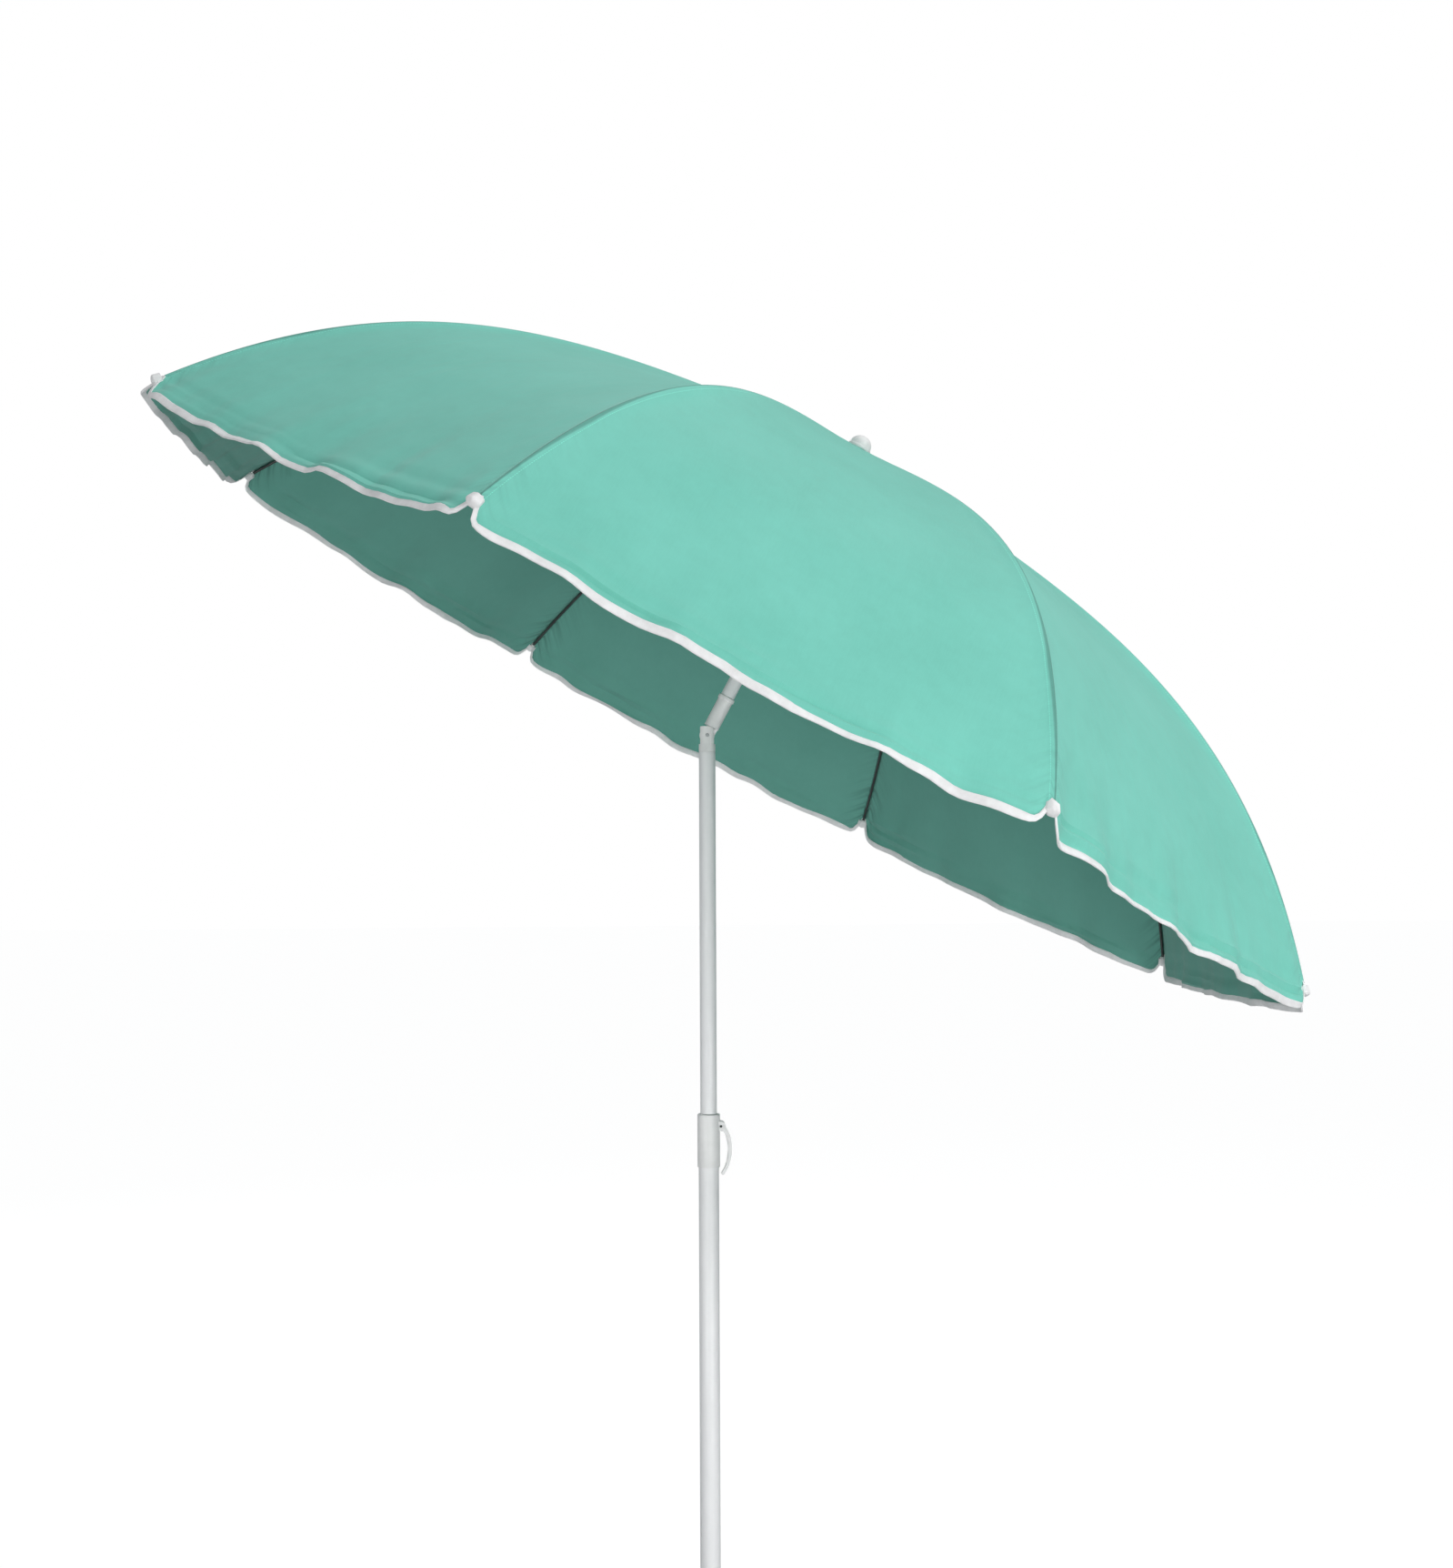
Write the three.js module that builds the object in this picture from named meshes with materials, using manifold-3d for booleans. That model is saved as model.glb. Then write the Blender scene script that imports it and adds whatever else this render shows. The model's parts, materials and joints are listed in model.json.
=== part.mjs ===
// A beach umbrella on a ground spike, leaned over at its tilt joint with the canopy open.
// A thick lower pole holds a thinner upper pole in a lever clamp. The tilt joint carries
// the shaft, with a crown at its top where eight ribs hinge, and a runner that slides on
// it and pushes the ribs open through eight stretchers. Eight fabric panels, each in two
// halves that fold at the middle line, cover the ribs.
// Millimetres, +Z up, the origin at the spike's tip, +X the side that the canopy leans to.

import * as THREE from "three";
import { mergeVertices } from "three/addons/utils/BufferGeometryUtils.js";
import Module from "manifold-3d";

const wasm = await Module();
wasm.setup();

// ---- Driving dimensions -------------------------------------------------------------

const GAP = 0.3; // between solids that touch
const PIN_GAP = 0.3; // round a pin in its hole, on the radius
const SIDES = 24; // facets of a turned piece
const HOLE_SIDES = 12; // facets of a pin or a small hole

const TILT_HEIGHT = 1434; // the tilt axis above the spike's tip
const TILT_DEG = 28.1; // lean of the shaft at the tilt stop

const SPIKE_LENGTH = 95;
const SPIKE_TIP_RADIUS = 2;
const SPIKE_PLUG_LENGTH = 40;
const LOWER_POLE_WALL = 1.2;
const LOWER_POLE_TOP = 900;
const BUSH_LENGTH = 30;
const BUSH_WALL = 1;

const UPPER_POLE_RADIUS = 11;
const UPPER_POLE_WALL = 1;
const UPPER_POLE_INSERTION = 120; // length of upper pole inside the lower one
const END_PLUG_LENGTH = 28;
const END_PLUG_STUB = 20;

const COLLAR_WALL = 1.2;
const COLLAR_SKIRT = 40; // length over the lower pole
const COLLAR_HEAD = 30; // length above the lower pole
const LEVER_WIDTH = 8;
const LEVER_PIN_RADIUS = 1.6;
const LEVER_PIN_BELOW_TOP = 16;
const LEVER_DROP = 64; // from the lever's pin to its end
const LEVER_BOW = 14; // how far the arm bows out from its pin
const LEVER_THICKNESS = 4.6;
const CAM_RADIUS = 4.2;
const CAM_OFFSET = 0.5; // towards the pole while the lever is down
const CHEEK_WALL = 3.2;
const CHEEK_RADIUS = 6.5;

const EAR_GAP = 8; // the tilt tongue's thickness
const EAR_INSET = 1; // from the upper pole's side in to the ears' outer faces
const EAR_HALF_WIDTH = 9;
const SOCKET_PLUG_LENGTH = 30;
const SHOULDER_LENGTH = 10;
const SHOULDER_DROP = 12; // from the tilt axis to the socket's shoulder
const TILT_PIN_RADIUS = 2.5;
const TONGUE_RADIUS = 10;
const KNUCKLE_WALL = 0.5;
const KNUCKLE_FOOT = 12; // from the tilt axis to the knuckle's lower face
const KNUCKLE_TOP = 58;
const KNUCKLE_SEAT = 30; // where the shaft stands inside the knuckle
const BEAD_PROUD = 1.2;
const BEAD_LENGTH = 6;
const BUTTON_HEAD = 2.5;
const BUTTON_TRAVEL = 2;
const LATCH_RADIUS = 1.5;
const LATCH_OFFSET = 9; // from the tilt axis down to the button's latch pin
const BUTTON_SPRING_WIRE = 0.3; // radius of the spring's wire

const SHAFT_RADIUS = 9.5;
const SHAFT_WALL = 1;
const SHAFT_TOP = 430; // above the tilt axis, along the shaft
const CATCH_LENGTH = 32;
const CATCH_WIDTH = 3.2;
const CATCH_PROUD = 3.2;
const CATCH_LEAF = 1;

const RUNNER_BORE_GAP = 0.5;
const RUNNER_SLEEVE_WALL = 3;
const RUNNER_SLEEVE_LENGTH = 24; // below the stretchers' pivots
const RUNNER_FLANGE_RIM = 4; // outside its pivot ring
const RUNNER_FLANGE_HALF = 4.5;
const RUNNER_REST_GAP = 4; // above the knuckle when the umbrella is closed
const CROWN_RIM = 7; // outside its pivot ring
const CROWN_HEIGHT = 22;
const RING_MARGIN = 6.5; // from the shaft's side out to a pivot ring's middle
const RING_WIRE = 1; // radius of both rings' wire

const RIB_COUNT = 8;
const RIB_REACH = 830; // from the shaft's axis to a rib's tip, in plan
const RIB_WIRE = 2; // radius of a rib's wire
const RIB_EYE_RADIUS = 3.4;
const RIB_EYE_WIDTH = 4;
const DOME_DROP = 383; // from the canopy's top down to the rib tips
const DOME_LINEAR = 0.38; // share of the drop that grows evenly with the reach
const DOME_POWER = 4; // the rest of the drop grows with this power
const DOME_ABOVE_HINGE = 9; // from the ribs' hinges up to the canopy's top
const TIP_RADIUS = 3.3;
const TIP_LENGTH = 13;
const TIP_SOCKET = 6; // depth of rib wire inside its tip

const STRETCHER_REACH = 170; // from the shaft's axis to the joint on the rib
const STRETCHER_JOINT_DROP = 7; // from the rib's wire down to that joint
const STRETCHER_WIDTH = 6;
const STRETCHER_THICKNESS = 2.4;
const STRETCHER_PIN_RADIUS = 1.5;
const JOINER_HALF_LENGTH = 8;
const JOINER_HALF_WIDTH = 2.6;
const JOINER_FOOT = 3.6; // from the joint down to the joiner's lower edge
const FOLDED_TIP_CLEARANCE = 17.5; // rib tip to the upper pole's side when closed

const FABRIC_THICKNESS = 1.2;
const FABRIC_CLEARANCE = 0.7; // between the fabric and the crown or the finial
const RIB_CLEARANCE = 1.6; // between the fabric's facets and a rib's wire
const FABRIC_HOLE_RADIUS = 12; // round the shaft's axis, under the finial
const FABRIC_SCALLOP = 12; // how far the hem curves in between two rib tips
const FABRIC_SAG = 10; // how far the hem's middle hangs below the rib tips
const HEM_DROP = 38; // the hem's flap below the line of the rib tips
const HEM_DROP_AT_RIB = 3;
const HEM_SLOPE_DEG = 60; // of the flap, below the level
const FINIAL_RADIUS = 16.5;
const FINIAL_HEIGHT = 20;
const FINIAL_RIM = 4;
const FINIAL_STEM_LENGTH = 32;

// ---- Sizes that follow from them ----------------------------------------------------

const TILT = THREE.MathUtils.degToRad(TILT_DEG);
const RIB_STEP = (2 * Math.PI) / RIB_COUNT;
const UPPER_BORE = UPPER_POLE_RADIUS - UPPER_POLE_WALL;
const BUSH_RADIUS = UPPER_POLE_RADIUS + GAP / 2 + BUSH_WALL;
const LOWER_BORE = BUSH_RADIUS + GAP / 2;
const LOWER_POLE_RADIUS = LOWER_BORE + LOWER_POLE_WALL;
const SHAFT_BORE = SHAFT_RADIUS - SHAFT_WALL;
const COLLAR_TOP = LOWER_POLE_TOP + COLLAR_HEAD;
const COLLAR_BORE = LOWER_POLE_RADIUS + GAP;
const COLLAR_RADIUS = COLLAR_BORE + COLLAR_WALL;
const LEVER_X = UPPER_POLE_RADIUS + GAP + CAM_RADIUS + CAM_OFFSET;
const LEVER_Z = COLLAR_TOP - LEVER_PIN_BELOW_TOP;
const EAR_FACE = UPPER_POLE_RADIUS - EAR_INSET;
const SHOULDER_FOOT = -SHOULDER_DROP - SHOULDER_LENGTH; // from the tilt axis
const BUTTON_RADIUS = SHOULDER_DROP - LATCH_OFFSET - GAP; // clears the shoulder when pressed
const KNUCKLE_RADIUS = SHAFT_RADIUS + GAP + KNUCKLE_WALL;
const BEAD_RADIUS = KNUCKLE_RADIUS + BEAD_PROUD;
const RING_RADIUS = SHAFT_RADIUS + RING_MARGIN; // of the crown's and the runner's rings
const CROWN_RADIUS = RING_RADIUS + CROWN_RIM;
const RUNNER_FLANGE_RADIUS = RING_RADIUS + RUNNER_FLANGE_RIM;
const FOLDED_TIP_RADIUS = UPPER_POLE_RADIUS + FOLDED_TIP_CLEARANCE;
const HINGE_Z = SHAFT_TOP - 2;
const DOME_TOP = HINGE_Z + DOME_ABOVE_HINGE;
const RIB_OFFSET = FABRIC_THICKNESS / 2 + RIB_CLEARANCE + RIB_WIRE;
const STRETCHER_Y = JOINER_HALF_WIDTH + GAP + 0.1; // inner face of a stretcher
const STRETCHER_MID_Y = STRETCHER_Y + STRETCHER_THICKNESS / 2;
const RUNNER_PIVOT_X = Math.sqrt(RING_RADIUS ** 2 - STRETCHER_MID_Y ** 2);
const RUNNER_SLEEVE_RADIUS = SHAFT_RADIUS + RUNNER_BORE_GAP + RUNNER_SLEEVE_WALL;
const RUNNER_CLOSED_Z = KNUCKLE_TOP + RUNNER_REST_GAP + RUNNER_SLEEVE_LENGTH;

// ---- The dome's line along a rib, and the fold ---------------------------------------

const domeZ = (r) => {
  const t = r / RIB_REACH;
  return DOME_TOP - DOME_DROP * (DOME_LINEAR * t + (1 - DOME_LINEAR) * t ** DOME_POWER);
};

const domeSlope = (r) => {
  const t = r / RIB_REACH;
  const bend = (1 - DOME_LINEAR) * DOME_POWER * t ** (DOME_POWER - 1);
  return (-DOME_DROP / RIB_REACH) * (DOME_LINEAR + bend);
};

// The middle of the rib's wire under the fabric at radius r.
function ribPoint(r) {
  const slope = domeSlope(r);
  const length = Math.hypot(1, slope);
  return [r + (RIB_OFFSET * slope) / length, domeZ(r) - RIB_OFFSET / length];
}

// The pivot between a rib and its stretcher, and where the fold takes it.
const jointX = STRETCHER_REACH;
const jointZ = ribPoint(STRETCHER_REACH)[1] - STRETCHER_JOINT_DROP;

function foldAngle() {
  const run = RIB_REACH - RING_RADIUS;
  const drop = HINGE_Z - domeZ(RIB_REACH);
  const chord = Math.hypot(run, drop);
  return Math.acos((FOLDED_TIP_RADIUS - RING_RADIUS) / chord) - Math.atan2(drop, run);
}

// The stretcher's length is the one that brings the runner just above the tilt knuckle
// when the ribs are folded down, and the open runner's height follows from it.
function stretcherLength() {
  const fold = foldAngle();
  const x = jointX - RING_RADIUS;
  const z = jointZ - HINGE_Z;
  const foldedX = RING_RADIUS + x * Math.cos(fold) + z * Math.sin(fold);
  const foldedZ = HINGE_Z - x * Math.sin(fold) + z * Math.cos(fold);
  return Math.hypot(foldedX - RUNNER_PIVOT_X, foldedZ - RUNNER_CLOSED_Z);
}

const STRETCHER_LENGTH = stretcherLength();
const RUNNER_Z = jointZ - Math.sqrt(STRETCHER_LENGTH ** 2 - (jointX - RUNNER_PIVOT_X) ** 2);

// ---- Solids --------------------------------------------------------------------------

function signedVolume(geometry) {
  const p = geometry.attributes.position;
  const index = geometry.index;
  const count = index ? index.count : p.count;
  const corner = (n) => new THREE.Vector3().fromBufferAttribute(p, index ? index.getX(n) : n);
  let sum = 0;
  for (let n = 0; n < count; n += 3) {
    sum += corner(n).dot(corner(n + 1).cross(corner(n + 2)));
  }
  return sum / 6;
}

// One closed surface of shared vertices, faces pointing out, no triangle without area.
function welded(geometry) {
  const bare = geometry.clone();
  bare.deleteAttribute("normal");
  bare.deleteAttribute("uv");
  const merged = mergeVertices(bare, 1e-3);
  const inside = signedVolume(merged) < 0;
  const corners = merged.index.array;
  const kept = [];
  for (let n = 0; n < corners.length; n += 3) {
    const [a, b, c] = [corners[n], corners[n + 1], corners[n + 2]];
    if (a !== b && b !== c && c !== a) kept.push(a, inside ? c : b, inside ? b : c);
  }
  merged.setIndex(kept);
  return merged;
}

function toSolid(geometry) {
  const closed = welded(geometry);
  return new wasm.Manifold(
    new wasm.Mesh({
      numProp: 3,
      vertProperties: new Float32Array(closed.attributes.position.array),
      triVerts: new Uint32Array(closed.index.array),
    }),
  );
}

function toGeometry(solid) {
  const mesh = solid.getMesh();
  const geometry = new THREE.BufferGeometry();
  geometry.setAttribute("position", new THREE.BufferAttribute(mesh.vertProperties, 3));
  geometry.setIndex(new THREE.BufferAttribute(mesh.triVerts, 1));
  return geometry;
}

// The first geometry joined with the others in add, then with those in cut taken away.
function shaped(base, { add = [], cut = [], within = null }) {
  let solid = toSolid(base);
  for (const other of add) solid = solid.add(toSolid(other));
  if (within) solid = solid.intersect(toSolid(within));
  for (const other of cut) solid = solid.subtract(toSolid(other));
  return toGeometry(solid);
}

// A profile of [radius, height] points turned about Z.
function turned(profile, sides = SIDES) {
  const points = profile.map(([r, z]) => new THREE.Vector2(r, z));
  return new THREE.LatheGeometry(points, sides).rotateX(Math.PI / 2);
}

const rod = (radius, low, high, sides = SIDES) =>
  turned([[0, low], [radius, low], [radius, high], [0, high]], sides);

const tube = (bore, radius, low, high) =>
  turned([[bore, low], [radius, low], [radius, high], [bore, high], [bore, low]]);

// A round bar along Y through (x, z).
const crossPin = (radius, x, z, low, high) =>
  new THREE.CylinderGeometry(radius, radius, high - low, HOLE_SIDES)
    .translate(x, (low + high) / 2, z);

// An outline drawn in X and Z, from y = low to y = high.
function plate(shape, low, high, curveSegments = 12) {
  const options = { depth: high - low, bevelEnabled: false, curveSegments };
  return new THREE.ExtrudeGeometry(shape, options).rotateX(Math.PI / 2).translate(0, high, 0);
}

function box(low, high) {
  const [x, y, z] = high.map((value, n) => value - low[n]);
  return new THREE.BoxGeometry(x, y, z)
    .translate(low[0] + x / 2, low[1] + y / 2, low[2] + z / 2);
}

function roundSection(radius, sides) {
  const points = Array.from({ length: sides }, (_, n) => {
    const angle = (2 * Math.PI * n) / sides;
    return new THREE.Vector2(radius * Math.cos(angle), radius * Math.sin(angle));
  });
  return new THREE.Shape(points);
}

// Round wire along a curve.
function wire(curve, radius, steps, sides = 6) {
  const options = { extrudePath: curve, steps, bevelEnabled: false };
  return new THREE.ExtrudeGeometry(roundSection(radius, sides), options);
}

const ring = (radius, wireRadius, z) =>
  new THREE.TorusGeometry(radius, wireRadius, 6, 4 * RIB_COUNT).translate(0, 0, z);

// The same cutters repeated round Z at each rib.
const roundRibs = (makeCutter) =>
  Array.from({ length: RIB_COUNT }, (_, n) => makeCutter().rotateZ((n + 0.5) * RIB_STEP));

// ---- Materials -----------------------------------------------------------------------

const WHITE_PAINT = { color: 0xe4e4e4, roughness: 0.35, metalness: 0 };
const WHITE_PLASTIC = { color: 0xf2f2f0, roughness: 0.45, metalness: 0 };
const GREY_PLASTIC = { color: 0xb9bcbc, roughness: 0.5, metalness: 0 };
const STEEL = { color: 0xa8aaad, roughness: 0.35, metalness: 1 };
const BLACK_STEEL = { color: 0x1c1e1e, roughness: 0.4, metalness: 0.3 };
const FABRIC = { color: 0x7cccba, roughness: 0.8, metalness: 0, side: THREE.DoubleSide };

function piece(name, geometry, finish) {
  const mesh = new THREE.Mesh(welded(geometry), new THREE.MeshStandardMaterial(finish));
  mesh.name = name;
  return mesh;
}

// ---- Lower pole ----------------------------------------------------------------------

function groundSpike() {
  const plug = LOWER_BORE - GAP;
  const top = SPIKE_LENGTH + SPIKE_PLUG_LENGTH;
  return turned([
    [0, 0],
    [SPIKE_TIP_RADIUS, 1],
    [LOWER_POLE_RADIUS - 1, SPIKE_LENGTH - 8],
    [LOWER_POLE_RADIUS, SPIKE_LENGTH - 6],
    [LOWER_POLE_RADIUS, SPIKE_LENGTH],
    [plug, SPIKE_LENGTH],
    [plug, top],
    [0, top],
  ]);
}

const lowerPole = () => tube(LOWER_BORE, LOWER_POLE_RADIUS, SPIKE_LENGTH + GAP, LOWER_POLE_TOP);

const guideBush = () =>
  tube(
    BUSH_RADIUS - BUSH_WALL,
    BUSH_RADIUS,
    LOWER_POLE_TOP - BUSH_LENGTH,
    LOWER_POLE_TOP,
  );

// ---- Pole clamp ----------------------------------------------------------------------

function clampCollar() {
  const foot = LOWER_POLE_TOP - COLLAR_SKIRT;
  const step = LOWER_POLE_TOP + GAP;
  const neck = UPPER_POLE_RADIUS + GAP;
  const body = turned([
    [COLLAR_BORE, foot],
    [COLLAR_RADIUS, foot],
    [COLLAR_RADIUS, COLLAR_TOP - 1],
    [COLLAR_RADIUS - 1, COLLAR_TOP],
    [neck, COLLAR_TOP],
    [neck, step],
    [COLLAR_BORE, step],
    [COLLAR_BORE, foot],
  ]);
  const halfSlot = LEVER_WIDTH / 2 + GAP;
  const halfCheek = halfSlot + CHEEK_WALL;
  const cheek = new THREE.Shape();
  cheek.moveTo(neck + 1, LEVER_Z - CHEEK_RADIUS);
  cheek.lineTo(LEVER_X, LEVER_Z - CHEEK_RADIUS);
  cheek.absarc(LEVER_X, LEVER_Z, CHEEK_RADIUS, -Math.PI / 2, Math.PI / 2, false);
  cheek.lineTo(neck + 1, LEVER_Z + CHEEK_RADIUS);
  const slotHalfHeight = CAM_RADIUS + CAM_OFFSET + 2;
  const outer = LEVER_X + CHEEK_RADIUS + 1;
  return shaped(body, {
    add: [plate(cheek, -halfCheek, halfCheek)],
    cut: [
      rod(neck, step - 1, COLLAR_TOP + 1),
      box(
        [0, -halfSlot, LEVER_Z - slotHalfHeight],
        [outer, halfSlot, LEVER_Z + slotHalfHeight],
      ),
      crossPin(LEVER_PIN_RADIUS + PIN_GAP, LEVER_X, LEVER_Z, -halfCheek - 1, halfCheek + 1),
    ],
  });
}

const leverPin = () => {
  const half = LEVER_WIDTH / 2 + GAP + CHEEK_WALL + 0.5;
  return crossPin(LEVER_PIN_RADIUS, LEVER_X, LEVER_Z, -half, half);
};

// A round cam on the pin and an arm that bows out from the pole and back in at its end.
function clampLever() {
  const end = LEVER_Z - LEVER_DROP;
  const outer = LEVER_X + CAM_RADIUS;
  const bow = LEVER_X + (4 / 3) * LEVER_BOW;
  const inner = bow - (4 / 3) * LEVER_THICKNESS;
  const arm = new THREE.Shape();
  arm.moveTo(outer, LEVER_Z);
  arm.bezierCurveTo(
    bow, LEVER_Z - LEVER_DROP * 0.17, bow, LEVER_Z - LEVER_DROP * 0.72, LEVER_X + 4, end);
  arm.absarc(LEVER_X + 2.4, end + 1.2, 2, -Math.PI / 4, -Math.PI, true);
  arm.bezierCurveTo(
    inner, LEVER_Z - LEVER_DROP * 0.72, inner, LEVER_Z - LEVER_DROP * 0.25,
    LEVER_X, LEVER_Z - CAM_RADIUS + 0.5);
  const half = LEVER_WIDTH / 2;
  return shaped(plate(arm, -half, half), {
    add: [crossPin(CAM_RADIUS, LEVER_X - CAM_OFFSET, LEVER_Z, -half, half)],
    cut: [crossPin(LEVER_PIN_RADIUS + PIN_GAP, LEVER_X, LEVER_Z, -half - 1, half + 1)],
  });
}

// ---- Upper pole ----------------------------------------------------------------------

function endPlug() {
  const face = LOWER_POLE_TOP - UPPER_POLE_INSERTION - GAP;
  return turned([
    [0, face - END_PLUG_LENGTH],
    [LOWER_BORE - GAP - 1, face - END_PLUG_LENGTH],
    [LOWER_BORE - GAP, face - END_PLUG_LENGTH + 2],
    [LOWER_BORE - GAP, face],
    [UPPER_BORE - GAP, face],
    [UPPER_BORE - GAP, face + END_PLUG_STUB],
    [0, face + END_PLUG_STUB],
  ]);
}

const upperPole = () =>
  tube(
    UPPER_BORE,
    UPPER_POLE_RADIUS,
    LOWER_POLE_TOP - UPPER_POLE_INSERTION,
    TILT_HEIGHT + SHOULDER_FOOT - GAP,
  );

// ---- Tilt joint, measured from the tilt axis ------------------------------------------

// Two ears on a shoulder. The ears are flat on top, where the knuckle stands while it is
// upright, and slope on the leaning side, where it comes to rest at the full tilt.
function tiltSocket() {
  const neck = UPPER_BORE - GAP;
  const body = turned([
    [0, SHOULDER_FOOT - SOCKET_PLUG_LENGTH],
    [neck, SHOULDER_FOOT - SOCKET_PLUG_LENGTH],
    [neck, SHOULDER_FOOT],
    [UPPER_POLE_RADIUS, SHOULDER_FOOT],
    [UPPER_POLE_RADIUS, -SHOULDER_DROP],
    [0, -SHOULDER_DROP],
  ]);
  const seat = KNUCKLE_FOOT - GAP;
  const slopeStart = [seat * Math.sin(TILT), seat * Math.cos(TILT)];
  const slopeEnd = slopeStart[1] - (EAR_HALF_WIDTH - slopeStart[0]) * Math.tan(TILT);
  const outline = new THREE.Shape();
  outline.moveTo(-EAR_HALF_WIDTH, -SHOULDER_DROP - 1);
  outline.lineTo(EAR_HALF_WIDTH, -SHOULDER_DROP - 1);
  outline.lineTo(EAR_HALF_WIDTH, slopeEnd);
  outline.lineTo(...slopeStart);
  outline.absarc(0, 0, seat, Math.PI / 2 - TILT, Math.PI / 2, false);
  outline.lineTo(-EAR_HALF_WIDTH, seat);
  const inside = EAR_GAP / 2 + GAP;
  const outside = EAR_FACE;
  const hole = crossPin(TILT_PIN_RADIUS + PIN_GAP, 0, 0, -outside - 1, outside + 1);
  return shaped(body, {
    add: [plate(outline, -outside, -inside, 4), plate(outline, inside, outside, 4)],
    within: rod(UPPER_POLE_RADIUS, SHOULDER_FOOT - SOCKET_PLUG_LENGTH - 1, KNUCKLE_TOP),
    cut: [hole, crossPin(LATCH_RADIUS + PIN_GAP, 0, -LATCH_OFFSET, 0, outside + 1)],
  });
}

const tiltPin = () => crossPin(TILT_PIN_RADIUS, 0, 0, -EAR_FACE, EAR_FACE);

// The tongue between the ears has a recess in its rim, where the button's pin runs from
// upright to the full tilt. Above it a round body takes the shaft, with a bead round its mouth.
function tiltKnuckle() {
  const seat = SHAFT_RADIUS + GAP;
  const bead = KNUCKLE_TOP - BEAD_LENGTH;
  const body = turned([
    [0, KNUCKLE_FOOT],
    [KNUCKLE_RADIUS, KNUCKLE_FOOT],
    [KNUCKLE_RADIUS, bead],
    [BEAD_RADIUS, bead + 1],
    [BEAD_RADIUS, KNUCKLE_TOP - 1],
    [BEAD_RADIUS - 1, KNUCKLE_TOP],
    [seat, KNUCKLE_TOP],
    [seat, KNUCKLE_SEAT],
    [0, KNUCKLE_SEAT],
  ]);
  const half = EAR_GAP / 2;
  const tongue = new THREE.Shape();
  tongue.moveTo(-EAR_HALF_WIDTH, KNUCKLE_FOOT + 1);
  const side = Math.acos(EAR_HALF_WIDTH / TONGUE_RADIUS);
  tongue.absarc(0, 0, TONGUE_RADIUS, Math.PI - side, side, false);
  tongue.lineTo(EAR_HALF_WIDTH, KNUCKLE_FOOT + 1);
  const recessEnd = (turn) =>
    crossPin(
      LATCH_RADIUS + PIN_GAP,
      LATCH_OFFSET * Math.sin(turn),
      -LATCH_OFFSET * Math.cos(turn),
      -half - 1,
      half + 1,
    );
  const recess = new THREE.Shape();
  const down = -Math.PI / 2;
  recess.absarc(0, 0, TONGUE_RADIUS + 1, down, down + TILT, false);
  recess.absarc(0, 0, LATCH_OFFSET - LATCH_RADIUS - PIN_GAP, down + TILT, down, true);
  return shaped(body, {
    add: [plate(tongue, -half, half)],
    cut: [
      crossPin(TILT_PIN_RADIUS + PIN_GAP, 0, 0, -half - 1, half + 1),
      recessEnd(0),
      recessEnd(TILT),
      plate(recess, -half - 1, half + 1, 6),
    ],
  });
}

// A head outside the ear on a pin that reaches through it into the tongue's recess, and
// stays clear of the other ear when it is pressed.
function tiltButton() {
  const head = EAR_FACE + GAP + BUTTON_TRAVEL;
  const pin = crossPin(LATCH_RADIUS, 0, -LATCH_OFFSET, BUTTON_TRAVEL - EAR_GAP / 2, head + 1);
  return shaped(pin, {
    add: [crossPin(BUTTON_RADIUS, 0, -LATCH_OFFSET, head, head + BUTTON_HEAD)],
  });
}

class Coil extends THREE.Curve {
  constructor(radius, length, turns) {
    super();
    Object.assign(this, { radius, length, turns });
  }

  getPoint(t, target = new THREE.Vector3()) {
    const angle = 2 * Math.PI * this.turns * t;
    return target.set(
      this.radius * Math.cos(angle),
      this.length * t,
      this.radius * Math.sin(angle),
    );
  }
}

function buttonSpring() {
  const room = BUTTON_TRAVEL - 2 * BUTTON_SPRING_WIRE;
  const coil = new Coil(LATCH_RADIUS + BUTTON_SPRING_WIRE + PIN_GAP, room, 2);
  return wire(coil, BUTTON_SPRING_WIRE, 20, 5)
    .translate(0, EAR_FACE + GAP / 2 + BUTTON_SPRING_WIRE, -LATCH_OFFSET);
}

// ---- Shaft ---------------------------------------------------------------------------

const catchTop = RUNNER_Z - RUNNER_SLEEVE_LENGTH - GAP;
const catchFoot = catchTop - CATCH_LENGTH;

function shaft() {
  const window = box(
    [-SHAFT_RADIUS - 1, -CATCH_WIDTH / 2 - GAP, catchFoot + 6],
    [-SHAFT_RADIUS / 2, CATCH_WIDTH / 2 + GAP, catchTop + 1],
  );
  return shaped(tube(SHAFT_BORE, SHAFT_RADIUS, KNUCKLE_SEAT + GAP, SHAFT_TOP), {
    cut: [window],
  });
}

// A leaf inside the shaft whose wedge stands out under the open runner.
function runnerCatch() {
  const back = -SHAFT_BORE + CATCH_LEAF + 0.5;
  const face = back - CATCH_LEAF;
  const nose = -SHAFT_RADIUS - CATCH_PROUD;
  const outline = new THREE.Shape([
    new THREE.Vector2(back, catchFoot),
    new THREE.Vector2(back, catchTop),
    new THREE.Vector2(nose, catchTop),
    new THREE.Vector2(nose, catchTop - 2),
    new THREE.Vector2(face, catchFoot + 9),
    new THREE.Vector2(face, catchFoot),
  ]);
  return plate(outline, -CATCH_WIDTH / 2, CATCH_WIDTH / 2);
}

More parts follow.
